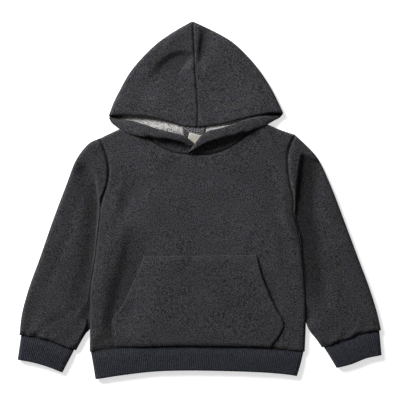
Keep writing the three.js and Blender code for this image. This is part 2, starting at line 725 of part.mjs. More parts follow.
// The lower front of one hood panel, from the neck seam over the hem band.
function hoodFront(name) {
  const sections = FRONT_HEMS[name];
  const profile = (s) => {
    const root = { x: s.rootX, y: s.rootY + SEAM };
    const low = { x: s.lowX, y: s.lowY };
    const top = { x: s.topX, y: s.topY };
    const width = apart(low, top);
    const valley = between(low, top, Math.min(VALLEY.share, VALLEY.reach / width));
    const rim = between(low, top, 1 + RIM.beyond / width);
    const foot = s.rootZ + Math.min(FOOT.rise, (s.crest - s.rootZ) * FOOT.share);
    return through([
      { ...root, z: s.rootZ },
      { ...valley, z: foot },
      { ...low, z: (foot + s.crest) / 2 },
      { ...between(low, top, BACK_OF_BAND.share), z: s.crest - BACK_OF_BAND.drop },
      { ...between(low, top, CREST_SHARE), z: s.crest },
      { ...top, z: s.crest - EDGE_DROP.crest },
      { ...rim, z: Math.max(s.rootZ + RIM.above, s.crest - EDGE_DROP.rim) },
    ]);
  };
  const profiles = sections.map(profile);
  const lines = steps(11).map((share) => through(profiles.map((p) => p(share))));
  const rows = lines.map((line) => steps(20).map(line));
  return wall(rows, { thick: FLEECE, flip: name === "right" });
}

// A patch of cloth that lies on the front, worked out from the front's own surface.
function pocket() {
  const bottom = (u) => {
    const x = POCKET.bottomRightX + (POCKET.bottomLeftX - POCKET.bottomRightX) * u;
    return { x, y: hemSeam((x - BODY[0].rightX) / bodyWidth).y + POCKET.aboveHem };
  };
  const rightEdge = through([bottom(0), ...POCKET.rightOpening.toReversed(), POCKET.top[0]]);
  const leftEdge = through([bottom(1), ...POCKET.leftOpening.toReversed(), POCKET.top[1]]);
  const plan = patch(bottom, through(POCKET.top), rightEdge, leftEdge);
  const hemmed = POCKET.liftShare / 3;
  const rows = steps(11).map((v) =>
    [0, hemmed, ...middleShares(12), 1 - hemmed, 1].map((u) => {
      const place = plan(u, v);
      const nearOpening = Math.exp(-((Math.min(u, 1 - u) / POCKET.liftShare) ** 2));
      const gape = POCKET.lift * nearOpening * Math.sin(Math.PI * v) ** 2;
      const ground = CROWN - foldDepth(FOLDS.body, place) + 1.5 * SEAM;
      return new THREE.Vector3(place.x, place.y, ground + FLEECE + gape);
    }),
  );
  return wall(rows, { thick: FLEECE });
}

function neckFacing() {
  const z = FLEECE + SEAM + FACING;
  const rows = NECK_FACING.map(({ y, rightX, leftX }) =>
    steps(6).map((u) => new THREE.Vector3(rightX + (leftX - rightX) * u, y, z)),
  );
  return wall(rows, { thick: FACING });
}

function neckLabel() {
  const geometry = new THREE.BoxGeometry(LABEL.width, LABEL.length, TAPE, 1, 1, 1);
  geometry.rotateZ(LABEL.tilt);
  geometry.translate(LABEL.x, LABEL.y, FLEECE + FACING + 2 * SEAM + TAPE / 2);
  return geometry;
}

add("body_back", bodyBack(), "fleece");
add("body_front", bodyFront(), "fleece");
add("pocket", pocket(), "fleece");
add("hem_rib", hemRib(), "rib");
for (const name of ["right", "left"]) {
  add("sleeve_" + name, sleeve(name), "fleece");
  add("cuff_" + name, cuff(name), "rib");
  add("hood_" + name, joinedWalls(hoodLayers(name), hoodFront(name)), "fleece");
}
add("neck_facing", neckFacing(), "fleece");
add("neck_label", neckLabel(), "label");

// The origin lies on the table below the middle of the garment's box.
const middle = new THREE.Box3().setFromObject(hoodie).getCenter(new THREE.Vector3());
hoodie.position.set(-middle.x, -middle.y, 0);

export default hoodie;
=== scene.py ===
import math

import bmesh
import bpy
import numpy as np
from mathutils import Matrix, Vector


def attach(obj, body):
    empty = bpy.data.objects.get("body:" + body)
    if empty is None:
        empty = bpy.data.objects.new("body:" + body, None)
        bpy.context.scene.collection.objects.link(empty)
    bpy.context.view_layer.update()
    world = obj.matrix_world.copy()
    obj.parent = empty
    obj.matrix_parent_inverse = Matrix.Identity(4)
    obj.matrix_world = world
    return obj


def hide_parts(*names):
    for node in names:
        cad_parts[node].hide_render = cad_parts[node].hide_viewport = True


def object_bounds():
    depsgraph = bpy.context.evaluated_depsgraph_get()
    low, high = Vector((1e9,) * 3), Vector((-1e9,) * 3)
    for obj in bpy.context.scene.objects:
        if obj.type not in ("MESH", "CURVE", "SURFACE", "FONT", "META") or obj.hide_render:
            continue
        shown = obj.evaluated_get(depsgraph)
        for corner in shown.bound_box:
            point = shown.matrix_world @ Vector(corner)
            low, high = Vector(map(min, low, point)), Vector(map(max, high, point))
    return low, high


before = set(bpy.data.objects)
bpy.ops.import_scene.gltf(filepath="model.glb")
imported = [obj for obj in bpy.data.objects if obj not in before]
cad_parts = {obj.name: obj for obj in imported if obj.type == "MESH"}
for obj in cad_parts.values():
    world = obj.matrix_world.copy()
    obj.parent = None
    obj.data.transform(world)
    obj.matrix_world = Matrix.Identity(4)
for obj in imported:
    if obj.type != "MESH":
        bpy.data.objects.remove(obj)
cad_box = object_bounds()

# The table and the light: a plain near-white floor, an even pale surround, and one broad soft lamp
# high at the upper left, as over a flat-lay table.
MM = 0.001
FLOOR_SIZE = 6.0
SURROUND_STRENGTH = 0.14
LAMP_PLACE = (-2.3, 2.3, 1.6)
LAMP_POWER = 300
LAMP_SIZE = 1.7
FLOOR_COLOUR = (0.93, 0.93, 0.93, 1)
FLOOR_GLOW = 0.6
FLOOR_LEVEL = -0.0004


def new_material(name, **values):
    """A material with the constant values of its shader, and its node tree."""
    material = bpy.data.materials.new(name)
    material.use_nodes = True
    shader = material.node_tree.nodes["Principled BSDF"]
    for label, value in values.items():
        shader.inputs[label.replace("_", " ")].default_value = value
    return material, material.node_tree


floor_mesh = bpy.data.meshes.new("table_top")
half = FLOOR_SIZE / 2
corners = [(x * half, y * half, FLOOR_LEVEL) for x, y in [(-1, -1), (1, -1), (1, 1), (-1, 1)]]
floor_mesh.from_pydata(corners, [], [(0, 1, 2, 3)])
floor_paint, _ = new_material("pale table", Base_Color=FLOOR_COLOUR, Roughness=0.9, Specular_IOR_Level=0.1,
                              Emission_Color=(1, 1, 1, 1), Emission_Strength=FLOOR_GLOW)
floor_mesh.materials.append(floor_paint)
table_top = bpy.data.objects.new("table_top", floor_mesh)
bpy.context.collection.objects.link(table_top)

world = bpy.data.worlds.new("surround")
bpy.context.scene.world = world
world.use_nodes = True
world.node_tree.nodes["Background"].inputs["Color"].default_value = (1, 1, 1, 1)
world.node_tree.nodes["Background"].inputs["Strength"].default_value = SURROUND_STRENGTH
lamp = bpy.data.objects.new("soft lamp", bpy.data.lights.new("soft lamp", "AREA"))
lamp.data.energy = LAMP_POWER
lamp.data.size = LAMP_SIZE
lamp.location = LAMP_PLACE
lamp.rotation_euler = (-Vector(LAMP_PLACE)).to_track_quat("-Z", "Y").to_euler()
bpy.context.collection.objects.link(lamp)
bpy.context.scene.view_settings.view_transform = "Standard"

# The camera looks straight down, and its frame is 640 mm wide.
LENS_MM = 135
SENSOR_MM = 36
VIEW_WIDTH = 0.64
CAMERA_HEIGHT = VIEW_WIDTH * LENS_MM / SENSOR_MM
VIEW_CENTRE = (0.0006, 0.0006)
camera = bpy.data.objects.new("camera", bpy.data.cameras.new("camera"))
camera.data.lens = LENS_MM
camera.data.sensor_width = SENSOR_MM
camera.location = (*VIEW_CENTRE, CAMERA_HEIGHT)
bpy.context.collection.objects.link(camera)
bpy.context.scene.camera = camera

# Back panel: one piece of loopback fleece that lies flat on the table, cut in from the fold of the
# side seams. The charts of the body, in millimetres, run from the hem seam up to the neck. Left and
# right are the wearer's, so the right side lies at -X.
FLEECE = 2.0
SEAM_GAP = 0.3
BODY_CHART = [
    # y, right edge x, left edge x
    (-241.5, -176.5, 167.6),
    (-208, -176, 169.1),
    (-177, -175.5, 169.1),
    (-137, -174.1, 167.4),
    (-97, -167.5, 163.6),
    (-58, -163.5, 158.5),
    (-20.5, -160.8, 150.4),
    (1, -155.5, 149.2),
    (24, -147.6, 143.6),
    (50, -145, 139.6),
    (76, -150.4, 140.2),
]
RIGHT_SHOULDER, LEFT_SHOULDER = (-160.8, 98.4), (150.4, 105)
RIGHT_NECK_POINT, LEFT_NECK_POINT = (-115, 117), (101, 121.4)
HEM_SEAM = [(-137.4, -235.6), (-84, -234.2), (-36.8, -232.6), (6.1, -233.1), (109, -235), (149.6, -239.6)]
BACK_NECK = [(-88, 107.5), (-50, 103), (-9, 102), (33, 104.5), (74, 112.5)]
RIGHT_NECK_SHARE, LEFT_NECK_SHARE = 0.16, 0.82
LAP = {"low": -206, "high": -10, "run": 22, "width": 8}

# The charts were drawn about the middle of the picture, and the frame has its origin under the middle
# of the garment, so the lowest corner says how far they lie apart.
CHART_LOW = (-291.4, -286.2)
SHIFT = np.array([cad_box[0][0] / MM - CHART_LOW[0], cad_box[0][1] / MM - CHART_LOW[1], 0])


def smooth(t):
    t = np.clip(t, 0, 1)
    return t * t * (3 - 2 * t)


def apart(a, b):
    return np.linalg.norm(np.asarray(a)[..., :2] - np.asarray(b)[..., :2], axis=-1)


def through(points, fine=60):
    """A smooth line through points, as a function of the share of its length."""
    knots = np.array([np.array(p, float) for p in points])
    first = 2 * knots[0] - knots[1]
    last = 2 * knots[-1] - knots[-2]
    padded = np.vstack([first, knots, last])
    pieces = []
    for k in range(len(knots) - 1):
        p = padded[k:k + 4]
        gaps = np.maximum(np.linalg.norm(np.diff(p, axis=0), axis=1) ** 0.5, 1e-6)
        t = np.concatenate([[0], np.cumsum(gaps)])
        s = np.linspace(t[1], t[2], fine, endpoint=False)[:, None]
        for n in (1, 2):
            p = [(t[i + n] - s) / (t[i + n] - t[i]) * p[i] + (s - t[i]) / (t[i + n] - t[i]) * p[i + 1]
                 for i in range(4 - n)]
        pieces.append((t[2] - s) / (t[2] - t[1]) * p[0] + (s - t[1]) / (t[2] - t[1]) * p[1])
    line = np.vstack([*pieces, knots[-1:]])
    lengths = np.concatenate([[0], np.cumsum(np.linalg.norm(np.diff(line, axis=0), axis=1))])
    lengths /= lengths[-1]

    def at(share):
        share = np.clip(np.asarray(share, float), 0, 1)
        return np.stack([np.interp(share, lengths, line[:, k]) for k in range(line.shape[1])], axis=-1)

    return at


def joined(lines, joins):
    """Lines end to end, with the joins at the given shares."""
    ends = [0, *joins, 1]

    def at(share):
        share = np.asarray(share, float)
        which = np.searchsorted(joins, share, side="right")
        found = np.zeros((*share.shape, 2))
        for k, line in enumerate(lines):
            local = (share - ends[k]) / (ends[k + 1] - ends[k])
            found = np.where((which == k)[..., None], line(local), found)
        return found

    return at


def patch(near, far, start, end):
    """The place at shares (u, v) between four edges: near and far run with u, start and end with v."""

    def at(u, v):
        a, b = u[..., None], v[..., None]
        return (
            (1 - b) * near(u) + b * far(u) + (1 - a) * start(v) + a * end(v)
            - (1 - a) * (1 - b) * near(0.0) - a * (1 - b) * near(1.0)
            - (1 - a) * b * far(0.0) - a * b * far(1.0)
        )

    return at


def layer(spot, low, thick):
    """Upper and lower points of a flat layer of cloth."""
    return np.dstack([spot, low + thick]), np.dstack([spot, low])


def cloth_mesh(name, outside, inside, closed=False, flip=False, materials=(), inner=None, painted_shade=None,
               inside_painted_shade=None):
    """A wall of cloth between two grids of points in millimetres. inner(i, j) picks the material of an inside face,
    and the shade grids give the painted shade of each outside and inside point, in seams, folds and hollows."""
    tall, wide = outside.shape[:2]
    places = (np.concatenate([outside.reshape(-1, 3), inside.reshape(-1, 3)]) + SHIFT) * MM
    column = np.arange(wide if closed else wide - 1)
    beside = (column + 1) % wide
    i, j = np.meshgrid(np.arange(tall - 1), column, indexing="ij")
    nxt = (j + 1) % wide
    skin = np.stack([i * wide + j, i * wide + nxt, (i + 1) * wide + nxt, (i + 1) * wide + j], axis=-1).reshape(-1, 4)
    base, last = tall * wide, (tall - 1) * wide
    borders = [(column, beside), (beside + last, column + last)]
    if not closed:
        up = np.arange(tall - 1) * wide
        borders += [(up + wide, up), (up + wide - 1, up + 2 * wide - 1)]
    rim = [np.stack([a + base, b + base, b, a], axis=-1) for a, b in borders]
    faces = np.concatenate([skin, skin[:, ::-1] + base, *rim])
    if flip:
        faces = faces[:, ::-1]
    mesh = bpy.data.meshes.new(name)
    mesh.from_pydata(places.tolist(), [], faces.tolist())
    for material in materials:
        mesh.materials.append(material)
    if inner is not None:
        which = np.zeros(len(faces), int)
        which[len(skin):2 * len(skin)] = inner(i, j).reshape(-1)
        mesh.polygons.foreach_set("material_index", which)
    # Painted shade per point, which the cloth shaders read to darken the colour.
    if painted_shade is not None:
        depths = mesh.attributes.new("painted_shade", "FLOAT", "POINT")
        behind = painted_shade if inside_painted_shade is None else inside_painted_shade
        depths.data.foreach_set("value", np.concatenate([painted_shade.reshape(-1), behind.reshape(-1)]).astype(np.float32))
    mesh.polygons.foreach_set("use_smooth", np.ones(len(faces), bool))
    mesh.update()
    return mesh


def piece_of(name, mesh):
    piece = bpy.data.objects.new(name, mesh)
    bpy.context.collection.objects.link(piece)
    return piece


def node(tree, kind, settings=(), **values):
    """A node with its settings, and its inputs given by label, or by number after an n."""
    made = tree.nodes.new("ShaderNode" + kind)
    for key, value in dict(settings).items():
        setattr(made, key, value)
    for label, value in values.items():
        socket = made.inputs[int(label[1:])] if label[0] == "n" and label[1:].isdigit() else made.inputs[label]
        if isinstance(value, bpy.types.NodeSocket):
            tree.links.new(value, socket)
        else:
            socket.default_value = value
    return made


def multiplied(tree, colour, by, share=1.0):
    """A colour multiplied by another, in full or by a share."""
    settings = {"data_type": "RGBA", "blend_type": "MULTIPLY"}
    return node(tree, "Mix", settings, Factor=share, n6=colour, n7=by).outputs[2]


def shade_cloth(tree, colour, left, height, invert=False, **bump):
    """Link a colour, darkened by painted shade in seams, folds and hollows, and the relief of the surface."""
    shader = tree.nodes["Principled BSDF"]
    # Painted shade: the base colour is multiplied down as this attribute rises.
    deep = node(tree, "Attribute", {"attribute_name": "painted_shade"}).outputs["Fac"]
    tree.links.new(multiplied(tree, colour, (left, left, left, 1), deep), shader.inputs["Base Color"])
    relief = node(tree, "Bump", {"invert": invert}, Height=height, **bump)
    tree.links.new(relief.outputs["Normal"], shader.inputs["Normal"])


# The knit as a shader group: dark and light fibres mixed in fine specks, with rows of small stitches.
knit = bpy.data.node_groups.new("heather knit", "ShaderNodeTree")
for label, kind in [("Dark", "Color"), ("Light", "Color"), ("Speck Size", "Float"), ("Specks", "Float"),
                    ("Stitch Width", "Float"), ("Turn", "Float")]:
    knit.interface.new_socket(label, in_out="INPUT", socket_type="NodeSocket" + kind)
for label, kind in [("Color", "Color"), ("Height", "Float")]:
    knit.interface.new_socket(label, in_out="OUTPUT", socket_type="NodeSocket" + kind)
given, knit_out = knit.nodes.new("NodeGroupInput").outputs, knit.nodes.new("NodeGroupOutput")


def maths(operation, *values, clamp=False):
    """The result of one operation of the knit's group, on numbers or links."""
    settings = {"operation": operation, "use_clamp": clamp}
    return node(knit, "Math", settings, **{f"n{k}": value for k, value in enumerate(values)}).outputs[0]


place = node(knit, "TexCoord").outputs["Object"]
turned = node(knit, "VectorRotate", {"rotation_type": "Z_AXIS"}, Vector=place, Angle=given["Turn"]).outputs[0]
stretched = node(knit, "VectorMath", {"operation": "MULTIPLY"}, n0=turned, n1=(1.0, 0.8, 1.0)).outputs[0]
specks, tints, cloud = [
    node(knit, "TexNoise", Vector=spot, Scale=scale, Detail=detail, Roughness=rough).outputs["Fac"]
    for spot, scale, detail, rough in [
        (stretched, maths("DIVIDE", 1.0, given["Speck Size"]), 2.5, 0.68),
        (place, 95.0, 3.0, 0.6),
        (place, 22.0, 2.0, 0.5),
    ]
]
spread = node(knit, "MapRange", n0=specks, n1=0.36, n2=0.66, n3=0.0, n4=1.0).outputs[0]
mixed = maths("ADD", spread, maths("MULTIPLY_ADD", cloud, 0.24, -0.12), clamp=True)
scaled = maths("MULTIPLY_ADD", maths("SUBTRACT", mixed, 0.5), given["Specks"], 0.5, clamp=True)
fibres = node(knit, "Mix", {"data_type": "RGBA"}, Factor=scaled, n6=given["Dark"], n7=given["Light"]).outputs[2]
cool = node(knit, "MapRange", n0=tints, n1=0.4, n2=0.66, n3=0.0, n4=0.75).outputs[0]
knit.links.new(multiplied(knit, fibres, (0.86, 0.84, 1.12, 1), cool), knit_out.inputs["Color"])
split = node(knit, "SeparateXYZ", Vector=turned).outputs
per_stitch = maths("DIVIDE", 2 * math.pi, given["Stitch Width"])
column = maths("SINE", maths("MULTIPLY", split["X"], per_stitch))
slanted = maths("ADD", maths("MULTIPLY", split["Y"], per_stitch), maths("MULTIPLY", column, 0.9))
stitches = maths("ADD", column, maths("MULTIPLY", maths("SINE", slanted), 0.5))
knit.links.new(maths("MULTIPLY_ADD", specks, 2.2, stitches), knit_out.inputs["Height"])


def knit_material(name, dark, light, turn=0.0, speck=0.0015, specks=1.4, stitch=0.0011, sheen=0.06, depth=0.0001):
    """A cloth of heather knit. The sheen is the short nap of the yarn."""
    material, tree = new_material(name, Roughness=0.93, Specular_IOR_Level=0.18, Sheen_Weight=sheen,
                                  Sheen_Roughness=0.55)
    values = {"Dark": (*dark, 1), "Light": (*light, 1), "Speck Size": speck, "Specks": specks,
              "Stitch Width": stitch, "Turn": turn}
    made = node(tree, "Group", {"node_tree": knit}, **values).outputs
    shade_cloth(tree, made["Color"], 0.1, made["Height"], Strength=0.55, Distance=depth)
    return material


FLEECE_DARK, FLEECE_LIGHT = np.array([0.0042, 0.0042, 0.0044]), np.array([0.0612, 0.0602, 0.0625])
fleece = knit_material("charcoal fleece", FLEECE_DARK, FLEECE_LIGHT)


def loops_material(name, light, dark):
    """Loopback side of the fleece: pale grey loops, seen inside the hood."""
    material, tree = new_material(name, Roughness=0.95, Specular_IOR_Level=0.15, Sheen_Weight=0.2)
    place = node(tree, "TexCoord").outputs["Object"]
    flat = node(tree, "VectorMath", {"operation": "MULTIPLY"}, n0=place, n1=(1.0, 0.6, 1.0)).outputs[0]
    cells = node(tree, "TexVoronoi", {"feature": "F1"}, Vector=flat, Scale=620.0).outputs["Distance"]
    patchy = node(tree, "TexNoise", Vector=place, Scale=180.0, Detail=3.0).outputs["Fac"]
    shade = node(tree, "ValToRGB", Fac=cells)
    for end, colour, share in zip(shade.color_ramp.elements, (light, dark), (0.25, 0.85)):
        end.color = (*colour, 1)
        end.position = share
    grey = node(tree, "MapRange", n0=patchy, n1=0.35, n2=0.7, n3=1.0, n4=0.72).outputs[0]
    toned = multiplied(tree, shade.outputs["Color"], grey)
    shade_cloth(tree, toned, 0.02, cells, invert=True, Strength=0.8, Distance=0.0006)
    return material


terry = loops_material("pale loops", (0.56, 0.545, 0.53), (0.15, 0.145, 0.145))

body_edge = {
    "right": through([*[(x, y) for y, x, _ in BODY_CHART], RIGHT_SHOULDER]),
    "left": through([*[(x, y) for y, _, x in BODY_CHART], LEFT_SHOULDER]),
}
hem_seam = through([
    (BODY_CHART[0][1], BODY_CHART[0][0]), *HEM_SEAM, (BODY_CHART[0][2], BODY_CHART[0][0]),
])
shoulders = [
    through([RIGHT_SHOULDER, (-145.6, 105.8), (-127.4, 113.9), RIGHT_NECK_POINT]),
    through([LEFT_NECK_POINT, (107.2, 121), (128, 112.6), LEFT_SHOULDER]),
]


def top_edge(neck):
    line = through([RIGHT_NECK_POINT, *neck, LEFT_NECK_POINT])
    return joined([shoulders[0], line, shoulders[1]], [RIGHT_NECK_SHARE, LEFT_NECK_SHARE])


back_plan = patch(hem_seam, top_edge(BACK_NECK), body_edge["right"], body_edge["left"])
BODY_WIDTH, BODY_LENGTH = 340.0, 335.0
SIDE_TURN_END, SIDE_TURN_RUN, TUCK = -14.0, 16.0, 3.0


def side_turn(y):
    """How far the front's edge turns down over the back: fully along the side seams, not at an armhole."""
    return smooth((SIDE_TURN_END - y) / SIDE_TURN_RUN)


def lap(y):
    """Where the body's side lies on the tucked inner edge of a sleeve."""
    return smooth((y - LAP["low"]) / LAP["run"]) * smooth((LAP["high"] - y) / LAP["run"])


u, v = np.meshgrid(np.linspace(0, 1, 71), np.linspace(0, 1, 81))
y = back_plan(u, v)[..., 1]
inset = SEAM_GAP + TUCK * smooth((SIDE_TURN_END + 10 - y) / 10) + LAP["width"] * 1.1 * lap(y)
turned_share = np.maximum(smooth((RIGHT_NECK_SHARE + 0.02 - u) / 0.02), smooth((u - LEFT_NECK_SHARE + 0.02) / 0.02))
across = inset / BODY_WIDTH + u * (1 - 2 * inset / BODY_WIDTH)
up = v * (1 - (SEAM_GAP + TUCK * turned_share) / BODY_LENGTH)
back_mesh = cloth_mesh("body_back", *layer(back_plan(across, up), 0 * u, FLEECE), materials=[terry, fleece],
                       inner=lambda i, j: np.ones(i.shape, int))
body_back = piece_of("back_panel", back_mesh)
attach(body_back, "root")
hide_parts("body_back")

# Front panel: one piece of fleece with a round neck, sewn to the back at the sides and shoulders. It
# rolls over at those edges, and dips into the seam along the armholes, the neck and the hem.
CROWN = 9.4
WAVE_HEIGHT = 0.35
SIDE_ROLL, TOP_ROLL = 5.5, 4.4
PUCKER = 0.35
TABLE_GAP = 0.5
LAP_HEIGHT = 5.2
SEAM_DIP, SEAM_REACH, SEAM_LAP = 1.7, 2.2, 0.6
FRONT_NECK = [
    (-88.6, 101.6), (-68.2, 87.4), (-47.7, 77.1), (-27.4, 73.1), (-9, 71.4),
    (13.4, 72), (33.9, 77.1), (54.4, 87.4), (70.4, 98.6), (85, 111),
]
BODY_FOLDS = [
    # x, y, turn, half length, half width, height
    (-153, -112, 80, 60, 10, 2.2),
    (-100, -160, 66, 34, 12, 0.5),
    (-140, -196, 84, 26, 10, -1.4),
    (138, -84, 98, 60, 10, -1.8),
    (152, -112, 97, 62, 8, 2.0),
    (118, -150, 80, 34, 12, -1.0),
    (142, -34, 99, 34, 8, 2.2),
    (-126, 40, 68, 36, 12, -1.1),
    (-134, 4, 100, 30, 9, 1.0),
    (-84, 18, 30, 52, 13, -0.9),
    (116, 40, 104, 40, 12, -1.1),
    (70, -16, -26, 56, 14, -0.9),
    (10, 30, 8, 64, 16, -0.7),
    (-20, -46, -10, 70, 14, -0.7),
    (-60, 60, 40, 26, 10, 0.7),
    (48, 60, -38, 28, 10, 0.7),
    (-132, -38, 62, 28, 10, -1.2),
    (122, -20, 118, 28, 10, -1.0),
]
BODY_STEPS = [
    # points x, y, drop; side that falls; run, low and climbing widths
    ([(-122, -30, 0), (-128, -56, 2.8), (-134, -82, 5.2), (-140, -108, 6), (-148, -138, 6.2), (-155, -166, 5.6),
      (-160, -190, 4.4), (-163, -212, 2.6)], 1, 22, 12, 26),
    ([(134, 40, 0), (130, 0, 1.6), (132, -50, 2.4), (138, -110, 2.4), (142, -160, 1.6), (144, -200, 0)],
     1, 14, 4, 12),
    ([(-118, 70, 0), (-126, 30, 1.8), (-134, -6, 1.8), (-140, -34, 0)], 1, 14, 4, 22),
]


def rounded(distance, radius):
    return np.sqrt(np.clip(1 - (1 - np.clip(distance / radius, 0, 1)) ** 2, 0, 1))


def fade(distance, reach):
    return np.exp(-((distance / reach) ** 2))


def from_edges(plan, u, v):
    """The places at shares (u, v) of a patch, and how far they lie from its near, far, start and end edges."""
    spot = plan(u, v)
    edges = (u, 0 * v), (u, 0 * v + 1), (0 * u, v), (0 * u + 1, v)
    return spot, [apart(spot, plan(*edge)) for edge in edges]


def deepest(*marks):
    """The largest of several marks at every point."""
    return np.max(np.broadcast_arrays(*marks), axis=0)


def soft_waves(seed, longest, shortest, count=14):
    """Uneven soft waves over the cloth, as a function of the place, about one high."""
    draw = np.random.default_rng(seed)
    lengths = np.geomspace(longest, shortest, count)
    turns = draw.uniform(0, math.pi, count)
    starts = draw.uniform(0, 2 * math.pi, count)
    share = lengths / lengths.sum() * 2.2

    def at(place):
        height = 0
        for length, turn, start, size in zip(lengths, turns, starts, share):
            run = place[..., 0] * math.cos(turn) + place[..., 1] * math.sin(turn)
            height = height + size * np.sin(run * 2 * math.pi / length + start)
        return height

    return at


def fold_height(folds, place):
    """Height of troughs and ridges at a place: rows of x, y, turn in degrees, half sizes and height."""
    height = 0
    for x, y, turn, long, wide, high in folds:
        c, s = math.cos(math.radians(turn)), math.sin(math.radians(turn))
        along = (place[..., 0] - x) * c + (place[..., 1] - y) * s
        bend = 0.06 * wide * np.sin(along / long * 2.1 + x)
        across = (place[..., 1] - y) * c - (place[..., 0] - x) * s + bend
        height = height + high * np.exp(-((along / long) ** 2) - (across / wide) ** 2)
    return height


def step_height(steps, place):
    """Height of folds that fall away on one side of a line: rows of its points x, y, drop; the side; then how
    far the cloth falls, lies low and climbs back."""
    height = 0
    for points, side, run, low, back in steps:
        line = through(points)(np.linspace(0, 1, 140))
        tangent = np.gradient(line[:, :2], axis=0)
        gap = place[..., None, :2] - line[:, :2]
        far = np.linalg.norm(gap, axis=-1)
        near = far.argmin(axis=-1)
        gap = np.take_along_axis(gap, near[..., None, None], axis=-2)[..., 0, :]
        turn = tangent[near, 0] * gap[..., 1] - tangent[near, 1] * gap[..., 0]
        distance = far.min(axis=-1) * np.sign(turn) * side
        climb = fade(np.clip(distance - run - low, 0, None), back)
        height = height - line[near, 2] * smooth(distance / run) * climb
    return height


def fold_shade(steps, place):
    """How much painted shade the cloth gets where it has fallen in behind a fold, from 0 to 1."""
    return np.clip(-step_height(steps, place) / 6.2, 0, 1) ** 1.3


def square_to(rows, closed=False, flip=False):
    """Unit directions square to a grid of points."""
    if closed:
        across = np.roll(rows, -1, axis=1) - np.roll(rows, 1, axis=1)
    else:
        across = np.gradient(rows, axis=1)
    along = np.gradient(rows, axis=0)
    normal = np.cross(across, along)
    normal /= np.maximum(np.linalg.norm(normal, axis=-1, keepdims=True), 1e-9)
    return -normal if flip else normal


def shares(*parts):
    return np.unique(np.concatenate([np.atleast_1d(p) for p in parts]))


def edge_steps(length, radius, count=7):
    """Shares close together where an edge rolls over."""
    return radius * (1 - np.cos(np.linspace(0, math.pi / 2, count))) / length


body_waves = soft_waves(3, 150, 22)
seam_shivers = soft_waves(5, 20, 7, 6)


def body_ground(place):
    """Height of the front's middle, away from its edges."""
    folds = fold_height(BODY_FOLDS, place) + step_height(BODY_STEPS, place)
    return CROWN + folds + WAVE_HEIGHT * body_waves(place)


front_plan = patch(hem_seam, top_edge(FRONT_NECK), body_edge["right"], body_edge["left"])
side_steps = edge_steps(BODY_WIDTH, SIDE_ROLL)
columns = shares(side_steps, np.linspace(0.035, 0.965, 110), 1 - side_steps)
rows = shares(edge_steps(BODY_LENGTH, 4, 4), np.linspace(0.02, 0.975, 112), 1 - edge_steps(BODY_LENGTH, TOP_ROLL))
u, v = np.meshgrid(columns, rows)
front_spot, (from_hem, from_top, from_right, from_left) = from_edges(front_plan, u, v)
from_side = np.minimum(from_right, from_left)
shoulder = np.maximum(smooth((RIGHT_NECK_SHARE - u) / 0.03), smooth((u - LEFT_NECK_SHARE) / 0.03))
turn = side_turn(front_spot[..., 1])
foot = TABLE_GAP + (LAP_HEIGHT - TABLE_GAP) * lap(front_spot[..., 1])
height = body_ground(front_spot)
for near, share in [(from_side, 1 - turn), (from_top, 1 - shoulder), (from_hem, 1)]:
    height = height - SEAM_DIP * fade(near, SEAM_REACH) * share
height = height + PUCKER * seam_shivers(front_spot) * (fade(from_hem, 9) + fade(from_side, 8) * (1 - turn))
side = 1 - turn * (1 - rounded(from_side, SIDE_ROLL))
top = 1 - shoulder * (1 - rounded(from_top, TOP_ROLL))
right_edge = smooth((0.5 - u) / 0.1)
# The painted shade at the armholes, neck, hem, left side, right side and behind folds: how dark it is and how far it
# reaches.
front_painted_shade = deepest(
    np.where(u < 0.5, 0.85, 0.5) * fade(from_side, 1.3) * (1 - turn),
    0.8 * fade(from_top, 1.2) * (1 - shoulder),
    0.85 * fade(from_hem, 1.5),
    0.55 * turn * (1 - right_edge) * fade(from_side, 3.5),
    0.26 * turn * right_edge * fade(from_side, 9),
    0.42 * fold_shade(BODY_STEPS, front_spot),
)
outer = np.dstack([front_spot, foot + (height - foot) * side * top])
outer[..., 1] += 0.7 * (1 - shoulder) * smooth(v * 12 - 11) - SEAM_LAP * smooth(1 - from_hem / 2)
outer[..., 0] += np.where(u < 0.5, -1, 1) * SEAM_LAP * (1 - turn) * smooth(1 - from_side / 2)
inner_points = outer - FLEECE * square_to(outer)


def front_inside(i, j):
    """The inside is charcoal near its edges, and has loops everywhere else."""
    return np.where((i < 5) | (i > len(rows) - 14) | (j < 8) | (j > len(columns) - 10), 0, 1)


front_mesh = cloth_mesh("body_front", outer, inner_points, materials=[fleece, terry], inner=front_inside,
                        painted_shade=front_painted_shade)
body_front = piece_of("front_panel", front_mesh)
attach(body_front, "root")
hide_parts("body_front")

# Kangaroo pocket: a patch of the same fleece sewn on along its top, its lower sides and in the hem
# seam. Its slanted hand openings are left free, and stand a little off the front.
POCKET_WIDTH, POCKET_LENGTH, POCKET_EDGE = 250, 145, 1.8
GAPE = 2.2
LOW_SEAM_Y = -192
POCKET_TOP = [(-89.3, -90.4), (89.8, -87.4)]
POCKET_RIGHT = [(-101, -120), (-123, -166), (-140.6, -194)]
POCKET_LEFT = [(99.5, -124), (119.5, -171), (133, -199)]
POCKET_FOOT = [(-135.4, -235), (112, -235)]
POCKET_FOLDS = [
    (-96, -168, 62, 34, 9, -0.7),
    (92, -160, 118, 36, 9, -0.7),
    (-30, -150, 6, 60, 15, -0.5),
    (40, -190, -8, 56, 13, -0.5),
    (-60, -205, 12, 40, 10, 0.4),
]

